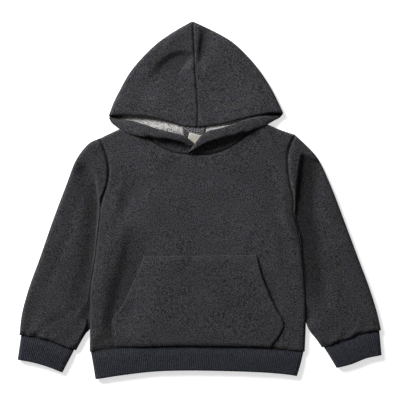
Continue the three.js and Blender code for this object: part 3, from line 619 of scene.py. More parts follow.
# Its thread is a row of small stitches along a line, as Geometry Nodes.
stitching = bpy.data.node_groups.new("stitch row", "GeometryNodeTree")
for label, kind in [("Line", "Geometry"), ("Spacing", "Float"), ("Size", "Vector"), ("Thread", "Material")]:
    stitching.interface.new_socket(label, in_out="INPUT", socket_type="NodeSocket" + kind)
stitching.interface.new_socket("Stitches", in_out="OUTPUT", socket_type="NodeSocketGeometry")
row_in, row_out = stitching.nodes.new("NodeGroupInput"), stitching.nodes.new("NodeGroupOutput")
chain = ["MeshToCurve", "ResampleCurve", "InstanceOnPoints", "RealizeInstances", "SetMaterial", "SetShadeSmooth"]
chain = [row_in, *[stitching.nodes.new("GeometryNode" + kind) for kind in chain], row_out]
for before, after in zip(chain, chain[1:]):
    stitching.links.new(before.outputs[0], after.inputs[0])
resample, place_beads, paint = chain[2], chain[3], chain[5]
resample.mode = "LENGTH"
bead = stitching.nodes.new("GeometryNodeMeshUVSphere")
for label, value in [("Segments", 6), ("Rings", 5), ("Radius", 0.5)]:
    bead.inputs[label].default_value = value
tangent = stitching.nodes.new("GeometryNodeInputTangent")
turn_to = stitching.nodes.new("FunctionNodeAlignRotationToVector")
turn_to.axis = "Z"
for source, target in [
    (row_in.outputs["Spacing"], resample.inputs["Length"]), (row_in.outputs["Thread"], paint.inputs["Material"]),
    (row_in.outputs["Size"], place_beads.inputs["Scale"]), (bead.outputs["Mesh"], place_beads.inputs["Instance"]),
    (tangent.outputs[0], turn_to.inputs["Vector"]), (turn_to.outputs[0], place_beads.inputs["Rotation"]),
]:
    stitching.links.new(source, target)

dark_thread, _ = new_material("charcoal thread", Base_Color=(0.012, 0.012, 0.014, 1), Roughness=0.7)
grey_thread, _ = new_material("grey thread", Base_Color=(0.05, 0.05, 0.052, 1), Roughness=0.7)
pale_thread, _ = new_material("pale thread", Base_Color=(0.42, 0.41, 0.38, 1), Roughness=0.7)


def merge(mesh, *others):
    """Add other meshes to a mesh, and delete them."""
    whole = bmesh.new()
    for part in mesh, *others:
        whole.from_mesh(part)
    whole.to_mesh(mesh)
    whole.free()
    for part in others:
        bpy.data.meshes.remove(part)


def sew(mesh, line, thread, every=0.0034, long=0.0026, thick=0.0006):
    """Add a row of stitches to a mesh, along a line given in millimetres."""
    path = bpy.data.meshes.new("stitch line")
    places = (np.asarray(line) + SHIFT) * MM
    path.from_pydata(places.tolist(), [(k, k + 1) for k in range(len(places) - 1)], [])
    carrier = bpy.data.objects.new("stitch line", path)
    bpy.context.collection.objects.link(carrier)
    stitches = carrier.modifiers.new("stitch row", "NODES")
    stitches.node_group = stitching
    sockets = {item.name: item.identifier for item in stitching.interface.items_tree if item.in_out == "INPUT"}
    stitches[sockets["Spacing"]] = every
    stitches[sockets["Size"]] = (thick, thick, long)
    stitches[sockets["Thread"]] = thread
    bpy.context.view_layer.update()
    made = bpy.data.meshes.new_from_object(carrier.evaluated_get(bpy.context.evaluated_depsgraph_get()))
    made.polygons.foreach_set("material_index", np.full(len(made.polygons), len(mesh.materials)))
    mesh.materials.append(thread)
    merge(mesh, made)
    bpy.data.objects.remove(carrier)
    bpy.data.meshes.remove(path)


def away_from(line, place, count):
    """How far a place is from a line, taken at a number of points along it."""
    return np.min([apart(place, p) for p in line(np.linspace(0, 1, count))], axis=0)


def pocket_foot(share):
    x = POCKET_FOOT[0][0] + (POCKET_FOOT[1][0] - POCKET_FOOT[0][0]) * np.asarray(share, float)
    hem = hem_seam((x - BODY_CHART[0][1]) / (BODY_CHART[0][2] - BODY_CHART[0][1]))
    return np.stack([x, hem[..., 1] + 0.2], axis=-1)


pocket_edges = [
    through([pocket_foot(0.0), *POCKET_RIGHT[::-1], POCKET_TOP[0]]),
    through([pocket_foot(1.0), *POCKET_LEFT[::-1], POCKET_TOP[1]]),
]
pocket_plan = patch(pocket_foot, through(POCKET_TOP), *pocket_edges)
pocket_steps = edge_steps(POCKET_WIDTH, 3, 5)
columns = shares(pocket_steps, np.linspace(0.02, 0.98, 84), 1 - pocket_steps)
rows = shares(edge_steps(POCKET_LENGTH, 3, 4), np.linspace(0.03, 0.97, 56), 1 - edge_steps(POCKET_LENGTH, 3, 5))
u, v = np.meshgrid(columns, rows)
spot, (from_foot, from_top, from_right, from_left) = from_edges(pocket_plan, u, v)
from_edge = np.minimum(from_right, from_left)
open_part = smooth(v * 4 - 0.9) * smooth((1 - v) * 6)
rim_round = rounded(np.min([from_edge, from_top, from_foot], axis=0), POCKET_EDGE)
gape = GAPE * fade(from_edge, 14) * open_part
press = 0.6 * fade(from_top, 5) + 1.6 * fade(from_foot, 3.4)
height = body_ground(spot) + SEAM_GAP + FLEECE + gape - press + fold_height(POCKET_FOLDS, spot)
height = height - (1 - rim_round) * 1.1 + 0.2 * seam_shivers(spot) * fade(from_top, 7)
outer = np.dstack([spot, height])
inner_points = outer.copy()
inner_points[..., 2] -= FLEECE * (0.35 + 0.65 * rim_round)
pocket_fleece = knit_material("pocket fleece", 0.93 * FLEECE_DARK, 0.93 * FLEECE_LIGHT)
pocket_mesh = cloth_mesh("pocket", outer, inner_points, materials=[pocket_fleece])
for line in outer[:, 5], outer[:, -6], outer[-6]:
    sew(pocket_mesh, line[2:-2] + np.array([0, 0, 0.1]), grey_thread)
low_side = outer[2:, 0][outer[2:, 0, 1] < LOW_SEAM_Y]
# Thick dark stitches along the lower sides: real stitching, drawn thick and dark so that they also stand for painted
# shade in that seam.
sew(pocket_mesh, low_side + np.array([-0.2, 0, 0.5]), dark_thread, every=0.0029, long=0.0031, thick=0.0013)
# Painted shade on the front along the pocket's edges: a thin dark line, darker and wider where its lower sides are
# sewn down, and a broad shade beside its right edge.
to_pocket = [away_from(edge, front_spot, 160) for edge in pocket_edges]
sewn = smooth((LOW_SEAM_Y + 6 - front_spot[..., 1]) / 6)
line = (0.35 + 0.6 * sewn) * fade(to_pocket[0], 1.6 + 1.6 * sewn)
front_painted_shade = deepest(front_painted_shade, line, 0.35 * fade(to_pocket[1], 1.3), 0.34 * fade(to_pocket[0], 15))
front_mesh.attributes["painted_shade"].data.foreach_set("value", np.tile(front_painted_shade.reshape(-1), 2).astype(np.float32))
pocket = piece_of("kangaroo_pocket", pocket_mesh)
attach(pocket, "root")
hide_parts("pocket")

# Sleeves: two tubes of the same fleece, pressed flat, each sewn to the body round its armhole. The inner
# edge of each lies tucked under the body's side.
ROUND_TUBE = 7.0
UNDERARM_Y = -20.5
SLEEVES = {
    "right": {
        "side": -1,
        "column": 1,
        "shoulder": RIGHT_SHOULDER,
        "outer": [(-176.4, 91.2), (-196.8, 66.4), (-214.4, 22.4), (-236, -35), (-256, -92.8), (-273.2, -140),
                  (-284.6, -182)],
        "inner_end": [(-170, -180), (-174.6, -204), (-182.8, -214)],
        "cuff_seam": [(-288.6, -215), (-267, -217), (-240.5, -223.6), (-212, -234.6), (-197.6, -239.4)],
        "cuff_end": [(-291.4, -255), (-266.9, -259.4), (-240.5, -267.2), (-219.7, -275.4)],
        "knit_turn": math.radians(17), "tone": 0.85, "shade": 0.3, "armhole_shade": 0.85,
        "steps": [
            ([(-192, 68, 0), (-181, 55, 3), (-167, 38, 5.6), (-161.5, 12, 5.6), (-160.2, -8, 5.6), (-160.8, -22, 5.6),
              (-163.5, -58, 5.4), (-167.5, -97, 5), (-174, -137, 4), (-175.6, -172, 2), (-177, -190, 0)],
             -1, 4, 3, 16),
            ([(-178, -180, 0), (-181, -190, 4), (-183, -204, 5.5), (-188, -214, 5), (-192, -222, 0)], 1, 2, 8, 6),
        ],
        "folds": [
            (-184, 44, 66, 26, 9, -1.4), (-192, 8, 66, 44, 10, -1.2), (-214, -66, 70, 52, 9, -0.9),
            (-238, -120, 68, 46, 10, -0.8), (-196, -150, 76, 40, 9, -0.8), (-226, -190, 30, 26, 7, -0.8),
            (-252, -196, 40, 24, 7, 0.6), (-206, -214, 24, 18, 6, -0.8), (-268, -186, 72, 24, 7, -0.6),
        ],
    },
    "left": {
        "side": 1,
        "column": 2,
        "shoulder": LEFT_SHOULDER,
        "outer": [(165.5, 91.6), (187.5, 67.5), (208, 25.5), (230.5, -33), (252.8, -92.8), (270.5, -140),
                  (283.6, -182)],
        "inner_end": [(164.4, -182), (174, -207), (185, -221.4)],
        "cuff_seam": [(289.2, -207.4), (265.9, -210.3), (242.1, -218.1), (212, -229.2), (194.5, -234.8)],
        "cuff_end": [(290.2, -247.6), (266, -252.6), (242.1, -262), (218.2, -268.2)],
        "knit_turn": math.radians(-17), "tone": 0.9, "shade": 0.72, "armhole_shade": 0.5,
        "steps": [
            ([(163, 76, 0), (160.6, 70, 4), (156.8, 48, 6), (152.8, 16, 6), (151.4, -7, 6), (150.8, -27, 6),
              (155.5, -47, 6), (159.5, -65, 6), (161.4, -87, 5.8), (164.5, -110, 5.4), (167.6, -140, 4.4),
              (169.1, -172, 2.6), (171, -190, 0)], 1, 3, 18, 18),
        ],
        "folds": [
            (148, 44, 94, 34, 6, 1.6), (190, -30, 108, 50, 12, -0.6), (190, 56, 118, 26, 8, 0.5),
            (206, -60, 112, 50, 10, -0.8), (232, -120, 110, 44, 10, -0.9), (196, -140, 104, 38, 8, -1.0),
            (222, -188, 150, 26, 7, -0.8), (250, -188, 140, 24, 7, 0.6), (204, -208, 156, 18, 6, -0.8),
        ],
    },
}
sleeve_waves = soft_waves(11, 120, 18)
LOWEST_TOP = 3.8
SLEEVE_LENGTH = 300
TUCK_SLOPE = 0.28


def sleeve_edges(chart):
    """The four edges of a sleeve. Its inner edge runs a little inside the body's, where it is tucked under."""
    beside = [
        (row[chart["column"]] + chart["side"] * (0.8 - (LAP["width"] + 0.8) * float(lap(row[0]))), row[0])
        for row in BODY_CHART if chart["inner_end"][0][1] < row[0] <= UNDERARM_Y
    ][::-1]
    armhole = [(row[chart["column"]], row[0]) for row in BODY_CHART if row[0] > UNDERARM_Y][::-1]
    start = [(x + chart["side"] * 0.4, y) for x, y in [chart["shoulder"], *armhole, beside[0]]]
    return (
        through(start),
        through(chart["cuff_seam"]),
        through([start[0], *chart["outer"], chart["cuff_seam"][0]]),
        through([start[-1], *beside[1:], *chart["inner_end"], chart["cuff_seam"][-1]]),
    )


def tube_ring(top_shares, under_shares):
    """Shares round a flattened tube, first over its top and then back underneath, and a mark of the top."""
    over = np.ones(len(top_shares), bool)
    return np.concatenate([top_shares, under_shares]), np.concatenate([over, np.zeros(len(under_shares), bool)])


def tube_points(plan, rows, ring, over, crown, inset, shape, middle_share=0.42):
    """Points of a flattened tube, inset into its wall. shape(place, to_start, to_end) adds to the top's height."""
    v, u = np.meshgrid(rows, ring, indexing="ij")
    width = apart(plan(0 * u, v), plan(0 * u + 1, v))
    spot = plan((inset + u * (width - 2 * inset)) / width, v)
    to_start = u * (width - 2 * inset)
    to_end = (1 - u) * (width - 2 * inset)
    edge = rounded(np.minimum(to_start, to_end), ROUND_TUBE - inset)
    middle = crown * middle_share
    top = crown - inset + shape(spot, to_start + inset, to_end + inset)
    z = np.where(over, middle + (top - middle) * edge, middle + (inset - middle) * edge)
    if inset:
        z = np.where(over, np.maximum(z, inset + 0.1), z)
    return np.dstack([spot, z])


def close_edges(count):
    return (1 - np.cos(math.pi * np.linspace(0, 1, count))) / 2


blend_ring = 0.55 * close_edges(73) + 0.45 * np.linspace(0, 1, 73)
ring, over = tube_ring(blend_ring, close_edges(37)[1:-1][::-1])
sleeve_piece = {}
for name, chart in SLEEVES.items():
    edges = sleeve_edges(chart)
    plan = patch(*edges)
    rows = shares(np.linspace(0, 1, 111), edge_steps(SLEEVE_LENGTH, 4, 4), 1 - edge_steps(SLEEVE_LENGTH, 4, 4))

    def sleeve_shape(place, to_outer, to_inner, chart=chart, edges=edges):
        """Folds, the flat tuck under the body, and the dips along the armhole and cuff seams."""
        tuck = lap(place[..., 1])
        ceiling = LAP_HEIGHT - 0.7 + np.clip(to_inner - LAP["width"] - 1, 0, None) * TUCK_SLOPE
        free = fold_height(chart["folds"], place) + step_height(chart["steps"], place)
        free = free + WAVE_HEIGHT * sleeve_waves(place)
        tucked = np.minimum(free, ceiling - CROWN)
        shape = free + (tucked - free) * tuck
        to_armhole = away_from(edges[0], place, 200)
        to_cuff = away_from(edges[1], place, 120)
        dips = 1.9 * fade(to_armhole, SEAM_REACH) * (1 - tuck) + 0.8 * fade(to_cuff, SEAM_REACH)
        puckers = 0.4 * fade(to_armhole, 8) + 0.8 * fade(to_cuff, 12)
        shape = shape - SEAM_DIP * dips + seam_shivers(place) * puckers
        return np.maximum(shape, LOWEST_TOP - CROWN)

    outer, inner_points = [tube_points(plan, rows, ring, over, CROWN, inset, sleeve_shape) for inset in (0, FLEECE)]
    to_armhole = away_from(edges[0], outer, 200)
    to_cuff = away_from(edges[1], outer, 120)
    for points in outer, inner_points:
        points[..., 1] -= SEAM_LAP * over * smooth(1 - to_cuff / 2)
    # Painted shade along the armhole and cuff seams, and where the sleeve has fallen in behind a fold; the chart's
    # shade says how dark that fold shade is.
    painted_shade_mask = over * deepest(chart["armhole_shade"] * fade(to_armhole, 1.3), 0.9 * fade(to_cuff, 1.6),
                             chart["shade"] * fold_shade(chart["steps"], outer))
    cloth = knit_material("sleeve fleece " + name, chart["tone"] * FLEECE_DARK, chart["tone"] * FLEECE_LIGHT,
                          turn=chart["knit_turn"])
    mesh = cloth_mesh("sleeve_" + name, outer, inner_points, closed=True, flip=name == "right",
                      materials=[cloth, terry], painted_shade=painted_shade_mask,
                      inner=lambda i, j: np.where((i < 8) | (i > len(rows) - 10), 0, 1))
    sleeve_piece[name] = piece_of("sleeve_tube_" + name, mesh)
    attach(sleeve_piece[name], "root")
    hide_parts("sleeve_" + name)

# Cuffs: folded bands of one-by-one rib, a loop round each wrist, narrower than the sleeve's end that is
# sewn to it. The ribs run along the arm.
RIB_CLOTH = 2.4
RIB_DARK, RIB_LIGHT = (0.003, 0.0036, 0.005), (0.036, 0.040, 0.049)
RIB_HEIGHT = 0.75
CUFF_RIBS = 28
CUFF_STEP = 3.0
BAND_LENGTH, CUFF_LENGTH, HEM_LENGTH = 40.5, 41, 40
RIB_DROP, RIB_REACH, RIB_ROLL = 2.2, 8.0, 3.5
POINTS_PER_RIB = 6
rib_material = {
    name: knit_material("rib knit " + name, RIB_DARK, RIB_LIGHT, turn=turn, speck=0.0018, specks=0.9, stitch=0.0014)
    for name, turn in [("hem", 0.0), ("right", math.radians(20)), ("left", math.radians(-20))]
}


def rib_wave(count, ribs):
    """Raised ribs round the top of a band, narrow furrows between them."""
    turn = np.linspace(0, 2 * math.pi * ribs, count)
    return (0.5 + 0.5 * np.cos(turn)) ** 0.7


def rib_band(name, plan, rows, ribs, crown, flip, material, shape):
    """A flattened band with ribs raised all over its top and edges."""
    count = ribs * POINTS_PER_RIB + 1
    under = close_edges(41)[1:-1][::-1]
    ring, over = tube_ring(np.linspace(0, 1, count), under)
    wave = np.concatenate([rib_wave(count, ribs), np.zeros(len(under))])
    outer, inner_points = [tube_points(plan, rows, ring, over, crown, inset, shape) for inset in (0, RIB_CLOTH)]
    normal = square_to(outer, closed=True, flip=flip)
    outer = outer + normal * (RIB_HEIGHT * (wave - 1) * over * np.ones((len(rows), 1)))[..., None]
    # Painted shade in the seam along the band's top edge.
    painted_shade_mask = 0.92 * fade(rows[:, None] * BAND_LENGTH, 1.5) * over
    return cloth_mesh(name, outer, inner_points, closed=True, flip=flip, materials=[material], painted_shade=painted_shade_mask)


band_waves = soft_waves(21, 90, 20)


def band_shape(seam, low, waves, roll, count):
    """The height of a band, which drops to its seam and rolls over at its lower fold."""

    def shape(place, to_start, to_end):
        drop = RIB_DROP * fade(away_from(seam, place, count), RIB_REACH)
        return waves * band_waves(place) - drop - roll * (1 - rounded(away_from(low, place, count), RIB_ROLL))

    return shape


cuff_piece = {}
for name, chart in SLEEVES.items():
    seam, end, side = chart["cuff_seam"], chart["cuff_end"], chart["side"]
    width = math.dist(seam[0], seam[-1])
    first = [a + (b - a) * CUFF_STEP / width for a, b in zip(seam[0], seam[-1])]
    final = [b + (a - b) * CUFF_STEP / width for a, b in zip(seam[0], seam[-1])]
    top = [(x + side * 0.2, y - SEAM_GAP) for x, y in [first, *seam[1:-1], final]]
    plan = patch(through(top), through(end), through([top[0], end[0]]), through([top[-1], end[-1]]))
    rows = shares(edge_steps(CUFF_LENGTH, 3, 6), np.linspace(0.08, 0.92, 12), 1 - edge_steps(CUFF_LENGTH, 3, 6))
    mesh = rib_band("cuff_" + name, plan, rows, CUFF_RIBS, CROWN - 0.4, name == "right", rib_material[name],
                    band_shape(through(top), through(end), waves=0.3, roll=1.6, count=80))
    cuff_piece[name] = piece_of("rib_cuff_" + name, mesh)
    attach(cuff_piece[name], "root")
    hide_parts("cuff_" + name)

# Hem: one folded band of the same rib, a loop all round, drawn in towards its lower edge. It is sewn to
# the lower edges of the back, the front and the pocket.
HEM_RIBS = 112
HEM_STEP = 2.0
HEM_BAND = [
    (-167, -286.2), (-122.4, -279.4), (-73.1, -273.9), (-26.1, -272.3), (38.2, -273),
    (102.6, -275.4), (141.1, -278.8), (155, -281.1),
]


def hem_top(share):
    inset = HEM_STEP / BODY_WIDTH
    return hem_seam(inset + (1 - 2 * inset) * np.asarray(share, float)) - np.array([0, SEAM_GAP])


hem_low = through(HEM_BAND)
hem_plan = patch(
    hem_top, hem_low,
    through([hem_top(0.0), (-170.8, -263), HEM_BAND[0]]),
    through([hem_top(1.0), (160.4, -263), HEM_BAND[-1]]),
)
rows = shares(edge_steps(HEM_LENGTH, 4, 8), np.linspace(0.1, 0.92, 12), 1 - edge_steps(HEM_LENGTH, 3, 6))
mesh = rib_band("hem_rib", hem_plan, rows, HEM_RIBS, CROWN - 0.2, True, rib_material["hem"],
                band_shape(hem_top, hem_low, waves=WAVE_HEIGHT, roll=1.7, count=200))
hem_rib = piece_of("rib_hem", mesh)
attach(hem_rib, "root")
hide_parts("hem_rib")

# Hood: two panels of fleece that meet in a seam over the middle. Each runs from the back of the neck up
# to the fold at the outline and back down over the top, ending in a turned hem round the opening.
HOOD_CROWN = 8.6
HOOD_ROLL = 7.0
HOOD_WIDTH, HOOD_LENGTH = 140, 160
PEAK_REACH, PEAK_SHARE = 22, 0.1
HOOD_CHART = [
    (157, -137.6, 124.8), (176, -128, 115.2), (201.6, -113.6, 99.2),
    (227.2, -92.8, 78.4), (252.8, -65.6, 51.2), (272, -36.8, 17.6),
]
HOOD_PEAK = (-12, 285.6)
HOOD_SEAM = [(-3.8, 146.6), (-5.9, 177), (-8, 208), (-9.9, 248.6)]
LIP_CENTRE, BACK_CENTRE = (-4.6, 115.8), (-9, 102)
LIP_RISE, LIP_REACH = 3.0, 36.0
HEM_DEPTH, HEM_THICKER = 25.0, 0.4
LIP_ROLL = 3.2
MOUTH_SWELL = {"y": 111, "reach": 16, "rise": 6.4}
HOOD_SIDES = {
    "right": {
        "side": -1, "column": 1, "corner": (-145.8, 135.4), "peak_end": (-14, 284.7), "corner_shade_reach": 27,
        "lip": [(-27.4, 117.9), (-44, 123.6), (-78.4, 132.3), (-123, 135.6)],
        "back_edge": [(-50, 103), (-88, 107.5), (-112, 118.6), (-127.6, 115), (-134, 118.8), (-141.8, 124.8)],
    },
    "left": {
        "side": 1, "column": 2, "corner": (133.1, 139.2), "peak_end": (-10, 284.7), "corner_shade_reach": 48,
        "lip": [(12.6, 117.8), (26, 119.6), (36, 121.6), (50.4, 125), (65.6, 129.2), (86, 134), (99.2, 136.9),
                (111.5, 138.9)],
        "back_edge": [(33, 104.5), (74, 112.5), (99, 123.2), (108, 122.4), (114, 126), (126.6, 131.8)],
    },
}
HOOD_FOLDS = [
    (-30, 222, 10, 20, 9, -0.8),
    (4, 232, 82, 30, 7, -1.4),
    (-44, 252, 40, 26, 8, 0.8),
    (26, 258, -48, 18, 7, 0.8),
    (58, 176, -52, 50, 13, -1.0),
    (-84, 178, 54, 46, 13, -0.9),
    (30, 214, -60, 34, 10, -0.8),
    (-30, 170, 84, 40, 10, -0.7),
    (24, 152, 96, 30, 9, -0.7),
    (90, 160, -30, 26, 9, 0.6),
    (-112, 156, 40, 24, 9, 0.5),
]
HOOD_STEPS = [
    # points x, y, drop; side that falls; run, low and climbing widths
    ([(-92, 196, 0), (-80, 208, 2), (-62, 227, 4), (-44, 238, 4.4), (-26, 241, 4.4), (-12, 236, 3.4), (-2, 228, 0)],
     -1, 13, 4, 26),
    ([(-6, 276, 0), (-3, 264, 2.6), (-4, 248, 3.4), (-6, 232, 2.4), (-7, 216, 0)], 1, 8, 3, 14),
]
hood_waves = soft_waves(31, 130, 20)


def hood_side(name, end):
    """The outline of one side, from its low corner up to an end."""
    chart = HOOD_SIDES[name]
    return through([chart["corner"], *[(row[chart["column"]], row[0]) for row in HOOD_CHART], end])


hood_outline = {name: hood_side(name, HOOD_PEAK)(np.linspace(0, 1, 240)) for name in HOOD_SIDES}
outline_points = np.vstack(list(hood_outline.values()))


def mouth_swell(y):
    """How far the back of the neck rises inside the hood's opening."""
    return MOUTH_SWELL["rise"] * fade(y - MOUTH_SWELL["y"], MOUTH_SWELL["reach"])


def from_outline(place):
    return np.min(np.linalg.norm(place[..., None, :] - outline_points, axis=-1), axis=-1)


def square_out(name, place):
    """Direction square to the outline of one side, at the point of it nearest to a place."""
    line = hood_outline[name]
    run = np.gradient(line, axis=0)
    run /= np.linalg.norm(run, axis=1, keepdims=True)
    near = np.linalg.norm(place[..., None, :] - line, axis=-1).argmin(axis=-1)
    return -HOOD_SIDES[name]["side"] * np.stack([-run[near, 1], run[near, 0]], axis=-1)


def hood_layers(name):
    """Points of both layers of a panel, rows up the hood and columns from the centre back round to the seam."""
    chart = HOOD_SIDES[name]
    side = chart["side"]
    peak = (HOOD_PEAK[0] + side * 0.04, HOOD_PEAK[1] - 0.9)
    outline = hood_side(name, chart["peak_end"])
    seam = [(x - side * 0.06, y) for x, y in HOOD_SEAM]
    lip_centre = (LIP_CENTRE[0] + side * 0.04, LIP_CENTRE[1])
    back_centre = (BACK_CENTRE[0] + side * 0.15, BACK_CENTRE[1] + 0.6)
    peak_row = through([peak, chart["peak_end"]])
    back_edge = [(x, y + 0.6) for x, y in chart["back_edge"]]
    upper, lower = [
        patch(through([centre, *edge, chart["corner"]]), peak_row, through([centre, *seam, peak]), outline)
        for centre, edge in [(lip_centre, chart["lip"]), (back_centre, back_edge)]
    ]
    outward = shares(edge_steps(HOOD_WIDTH, 5, 8), 1 - (1 - np.linspace(0.03, 1, 60)) ** 1.35,
                     1 - edge_steps(HOOD_WIDTH, HOOD_ROLL))
    ends = edge_steps(HOOD_LENGTH, 5, 5)
    rows = shares(ends, np.linspace(0.035, 0.97, 84), 1 - ends)
    middle = HOOD_CROWN * 0.45
    v, u = np.meshgrid(rows, outward, indexing="ij")
    under_place = lower(u, v)
    under_edge = rounded(from_outline(under_place), HOOD_ROLL)
    under = np.dstack([under_place, middle * (1 - under_edge)])
    place, (from_lip, _, from_seam, _) = from_edges(upper, u[:, -2::-1], v[:, -2::-1])
    edge = rounded(from_outline(place), HOOD_ROLL)
    lift = LIP_RISE * fade(from_lip, LIP_REACH)
    crown = HOOD_CROWN + lift + fold_height(HOOD_FOLDS, place) + WAVE_HEIGHT * hood_waves(place)
    crown = np.maximum(crown + step_height(HOOD_STEPS, place), LOWEST_TOP + 0.6)
    crown = crown - 1.2 * fade(from_seam, 1.7) - 1.6 * (1 - rounded(from_lip, LIP_ROLL))
    crown = crown + 0.3 * seam_shivers(place) * fade(from_seam, 7)
    over = np.dstack([place, middle + (crown - middle) * edge])
    outer = np.concatenate([under, over], axis=1)
    hem = smooth((HEM_DEPTH - from_lip) / 2.5)
    wall = FLEECE * np.clip(apart(outer, HOOD_PEAK) / PEAK_REACH, PEAK_SHARE, 1)
    edges = np.concatenate([under_edge, edge], axis=1)
    inner = outer.copy()
    inner[..., :2] -= square_out(name, outer[..., :2]) * (wall * np.sqrt(np.clip(1 - edges**2, 0, 1)))[..., None]
    thick = wall * edges
    thick[:, :u.shape[1]] += mouth_swell(under_place[..., 1]) * under_edge
    thick[:, u.shape[1]:] *= 1 + HEM_THICKER * hem
    inner[:, :u.shape[1], 2] += thick[:, :u.shape[1]]
    inner[:, u.shape[1]:, 2] -= thick[:, u.shape[1]:]
    # Painted shade along the centre seam and behind the hood's folds.
    painted_shade_mask = np.maximum(0.95 * fade(from_seam, 1.3), 0.34 * fold_shade(HOOD_STEPS, place) ** 0.6)
    painted_shade_mask = np.concatenate([np.zeros(u.shape), painted_shade_mask], axis=1)
    # Painted shade on the loops inside, darkest at the opening's corner and fading away from it.
    from_corner = apart(under_place, chart["corner"]) / chart["corner_shade_reach"]
    inside = np.concatenate([np.exp(-(from_corner ** 4)), np.zeros(place.shape[:2])], axis=1)
    return outer, inner, np.concatenate([0 * u + 99, from_lip], axis=1), painted_shade_mask, inside


# Lower front of the hood: from the neck seam the cloth turns back under its own hem band, rolls over
# the crest of the band, and ends inside the opening. At the throat the left side lies over the right.
FRONT_HEMS = {
    # root x, y, z at the neck seam; low x, y of the band's lower fold; top x, y of its upper edge; crest
    "right": [
        (-21.6, 73.9, 6.8, -15, 84.9, -9.8, 91, 11.4),
        (-31, 74.2, 6.8, -27.4, 92.6, -25.5, 101.6, 15.5),
        (-47.7, 77.9, 6.8, -47.7, 97.6, -47.7, 108, 18.2),
        (-68.2, 88.3, 6.8, -68.2, 99.1, -68, 113, 17.6),
        (-88.6, 102.6, 7.6, -88.6, 101.6, -88.6, 120, 15.8),
        (-108, 114.9, 8.4, -109, 105.8, -107, 125.6, 13.2),
        (-120, 120.3, 6, -120.4, 110.6, -119, 127.6, 10.6),
        (-130, 122.9, 3, -131.4, 116.8, -130, 129.2, 7.8),
        (-138, 128.3, 2, -141.2, 124.2, -139.4, 131.4, 5.6),
        (-142.6, 132.3, 2, -145.4, 131, -144, 133.4, 4.4),
    ],
    "left": [
        (-19.6, 73.6, 9.6, -19.2, 75.2, -18.4, 77.4, 13.6),
        (-10, 72.2, 7.6, -8.5, 81.8, -7.6, 90.8, 16.5),
        (2, 72.6, 7, 3.2, 88.5, 3.2, 103.2, 18.4),
        (13.4, 73, 6.8, 13.4, 93.4, 13.4, 109.4, 19.3),
        (33.9, 78, 6.8, 33.9, 99.5, 33.9, 114.3, 19.6),
        (54.2, 88.2, 7.4, 54.2, 104.2, 54.2, 121, 18.2),
        (74.7, 103.7, 8, 74.7, 109.2, 74.7, 128.6, 15.8),
        (92, 118.1, 8.6, 93, 116.4, 93, 132.6, 13),
        (106, 126.3, 6, 107.2, 121.4, 108, 133.8, 10.4),
        (116, 131.3, 3, 118, 127.4, 118.5, 134.4, 7.6),
        (124.6, 135.7, 2, 127.2, 132, 126.8, 136, 5.4),
        (129.6, 139.3, 2, 132.7, 137.6, 131.4, 138.2, 4.2),
    ],
}
VALLEY = 5.5
front_waves = soft_waves(41, 60, 12)


def hood_front(name, across=46, along=150):
    """Points of the lower front, rows from the neck seam to the cloth's end and columns out from the throat."""
    profiles = []
    for root_x, root_y, root_z, low_x, low_y, top_x, top_y, crest in FRONT_HEMS[name]:
        low, top = np.array([low_x, low_y]), np.array([top_x, top_y])
        width = np.linalg.norm(top - low)
        low = low - (top - low) * min(1.3 / width, 0.1)
        width = np.linalg.norm(top - low)
        valley = low + (top - low) * min(0.55, VALLEY / width)
        rim = low + (top - low) * (1 + 0.5 / width)
        foot = root_z + min(1.0, (crest - root_z) * 0.12)
        near, ridge, far = [low + (top - low) * share for share in (0.06, 0.2, 0.6)]
        profiles.append(through([
            (root_x, root_y, root_z), (*valley, foot), (*low, max(crest - 3.4, foot + 0.5)), (*near, crest - 0.5),
            (*ridge, crest - 0.05), (*far, crest), (*top, crest - 1.6), (*rim, max(root_z + 0.6, crest - 6.5)),
        ], fine=24))
    lines = [through([p(s) for p in profiles], fine=24) for s in np.linspace(0, 1, across)]
    grid = np.array([line(np.linspace(0, 1, along)) for line in lines])
    ripple = 0.3 * front_waves(grid)
    grid[..., 2] += ripple * smooth((grid[..., 2] - 8) / 4)
    share = np.linspace(0, 1, across)[:, None] * np.ones(along)
    return grid, share


# A lighter copy of the pale loops, which paints light on the inside of the left panel.
painted_light_loops = loops_material("pale loops with painted light", (0.8, 0.785, 0.77), (0.3, 0.295, 0.295))
hood_piece = {}
for name in HOOD_SIDES:
    flip = name == "left"
    outer, inner_points, from_lip, painted_shade_mask, inside = hood_layers(name)
    loops_cloth = painted_light_loops if name == "left" else terry
    mesh = cloth_mesh("hood_" + name, outer, inner_points, flip=flip, materials=[fleece, loops_cloth],
                      inner=lambda i, j, d=from_lip: np.where((d[i, j] < HEM_DEPTH) | (j > d.shape[1] - 12), 0, 1),
                      painted_shade=painted_shade_mask, inside_painted_shade=inside)
    grid, share = hood_front(name)
    hem = smooth((share - 0.45) / 0.1)
    deep_enough = np.clip(np.ptp(grid[..., 2], axis=0) / 11, 0.12, 1)
    back_points = grid - (FLEECE * (1 + HEM_THICKER * hem) * deep_enough)[..., None] * square_to(grid, flip=not flip)
    # The lower front gets painted shade in the neck seam where it starts.
    front = cloth_mesh("hood_front_" + name, grid, back_points, flip=not flip, materials=[fleece, terry],
                       inner=lambda i, j: np.where((i > 20) | (i < 8) | (j < 30) | (j > 96), 0, 1),
                       painted_shade=fade(share * 38, 1.6))
    merge(mesh, front)
    hem_row = int(np.argmin(np.abs(from_lip[:, -40] - HEM_DEPTH + 2)))
    sew(mesh, outer[hem_row, outer.shape[1] // 2 + 8:-1] + np.array([0, 0, 0.08]), grey_thread)
    hood_piece[name] = piece_of("hood_panel_" + name, mesh)
    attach(hood_piece[name], "root")
    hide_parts("hood_" + name)

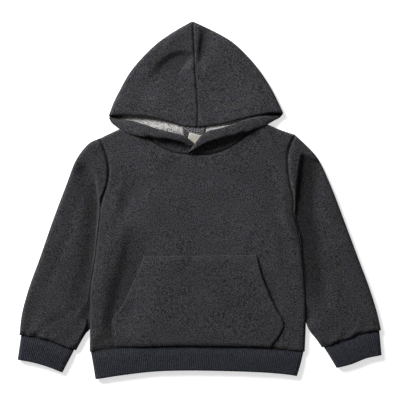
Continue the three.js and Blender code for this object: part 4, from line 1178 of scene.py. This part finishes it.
# Neck facing: a small piece of the hood's fleece inside the back of the neck, charcoal side out. Its
# lower edge is sewn over with pale and dark thread.
FACING = 1.0
FACING_CHART = np.array([
    # y, right edge x, left edge x
    (94, -24.6, 2), (104, -25.6, 4.8), (118, -29, 10.7), (134, -32, 15),
])
u, y = np.meshgrid(np.linspace(0, 1, 33), np.linspace(94, 134, 33))
right_x, left_x = [np.interp(y, FACING_CHART[:, 0], FACING_CHART[:, k]) for k in (1, 2)]
spot = np.dstack([right_x + (left_x - right_x) * u, y])
speckled = knit_material("facing fleece", FLEECE_DARK, 3.0 * FLEECE_LIGHT, speck=0.0016, specks=2.6)
facing_mesh = cloth_mesh("neck_facing", *layer(spot, FLEECE + mouth_swell(y) + SEAM_GAP, FACING),
                         materials=[speckled])
serged = through([(-27.4, 116.4), (-16.2, 109.6), (-10.1, 106.8), (-1, 105.4), (5.4, 103.8)])(np.linspace(0, 1, 40))
top = FLEECE + mouth_swell(serged[:, 1]) + SEAM_GAP + FACING
overlock = np.column_stack([serged, top + 0.25])
sew(facing_mesh, overlock, pale_thread, every=0.0027, long=0.0019, thick=0.0010)
sew(facing_mesh, overlock + np.array([0.6, 1.3, 0]), dark_thread, every=0.0023, long=0.0016, thick=0.0009)
sew(facing_mesh, overlock + np.array([1.4, 2.9, 0.1]), pale_thread, every=0.0036, long=0.0012, thick=0.0009)
neck_facing = piece_of("neck_facing_strip", facing_mesh)
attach(neck_facing, "root")
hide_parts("neck_facing")

# Label: bare cream woven tape, folded double and sewn in below the facing. It bows a little off the cloth
# under it.
LABEL = {"x": -8.6, "y": 95.6, "width": 21.5, "length": 19, "tilt": -0.24, "thick": 0.8, "bow": 0.5}
tape = knit_material("cream tape", (0.5, 0.49, 0.39), (0.8, 0.79, 0.66), turn=LABEL["tilt"],
                     speck=0.0009, specks=0.35, stitch=0.0006, sheen=0.05, depth=0.00005)
a, b = np.meshgrid(np.linspace(-0.5, 0.5, 25), np.linspace(-0.5, 0.5, 21))
c, s = math.cos(LABEL["tilt"]), math.sin(LABEL["tilt"])
x, y = a * LABEL["width"], b * LABEL["length"]
spot = np.dstack([LABEL["x"] + x * c - y * s, LABEL["y"] + x * s + y * c])
ground = FLEECE + mouth_swell(spot[..., 1])
lift = ground + SEAM_GAP + FACING + 0.25 + LABEL["bow"] * np.sin(math.pi * (b + 0.5))
label_mesh = cloth_mesh("neck_label", *layer(spot, lift, LABEL["thick"]), materials=[tape])
neck_label = piece_of("bare_label", label_mesh)
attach(neck_label, "root")
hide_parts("neck_label")
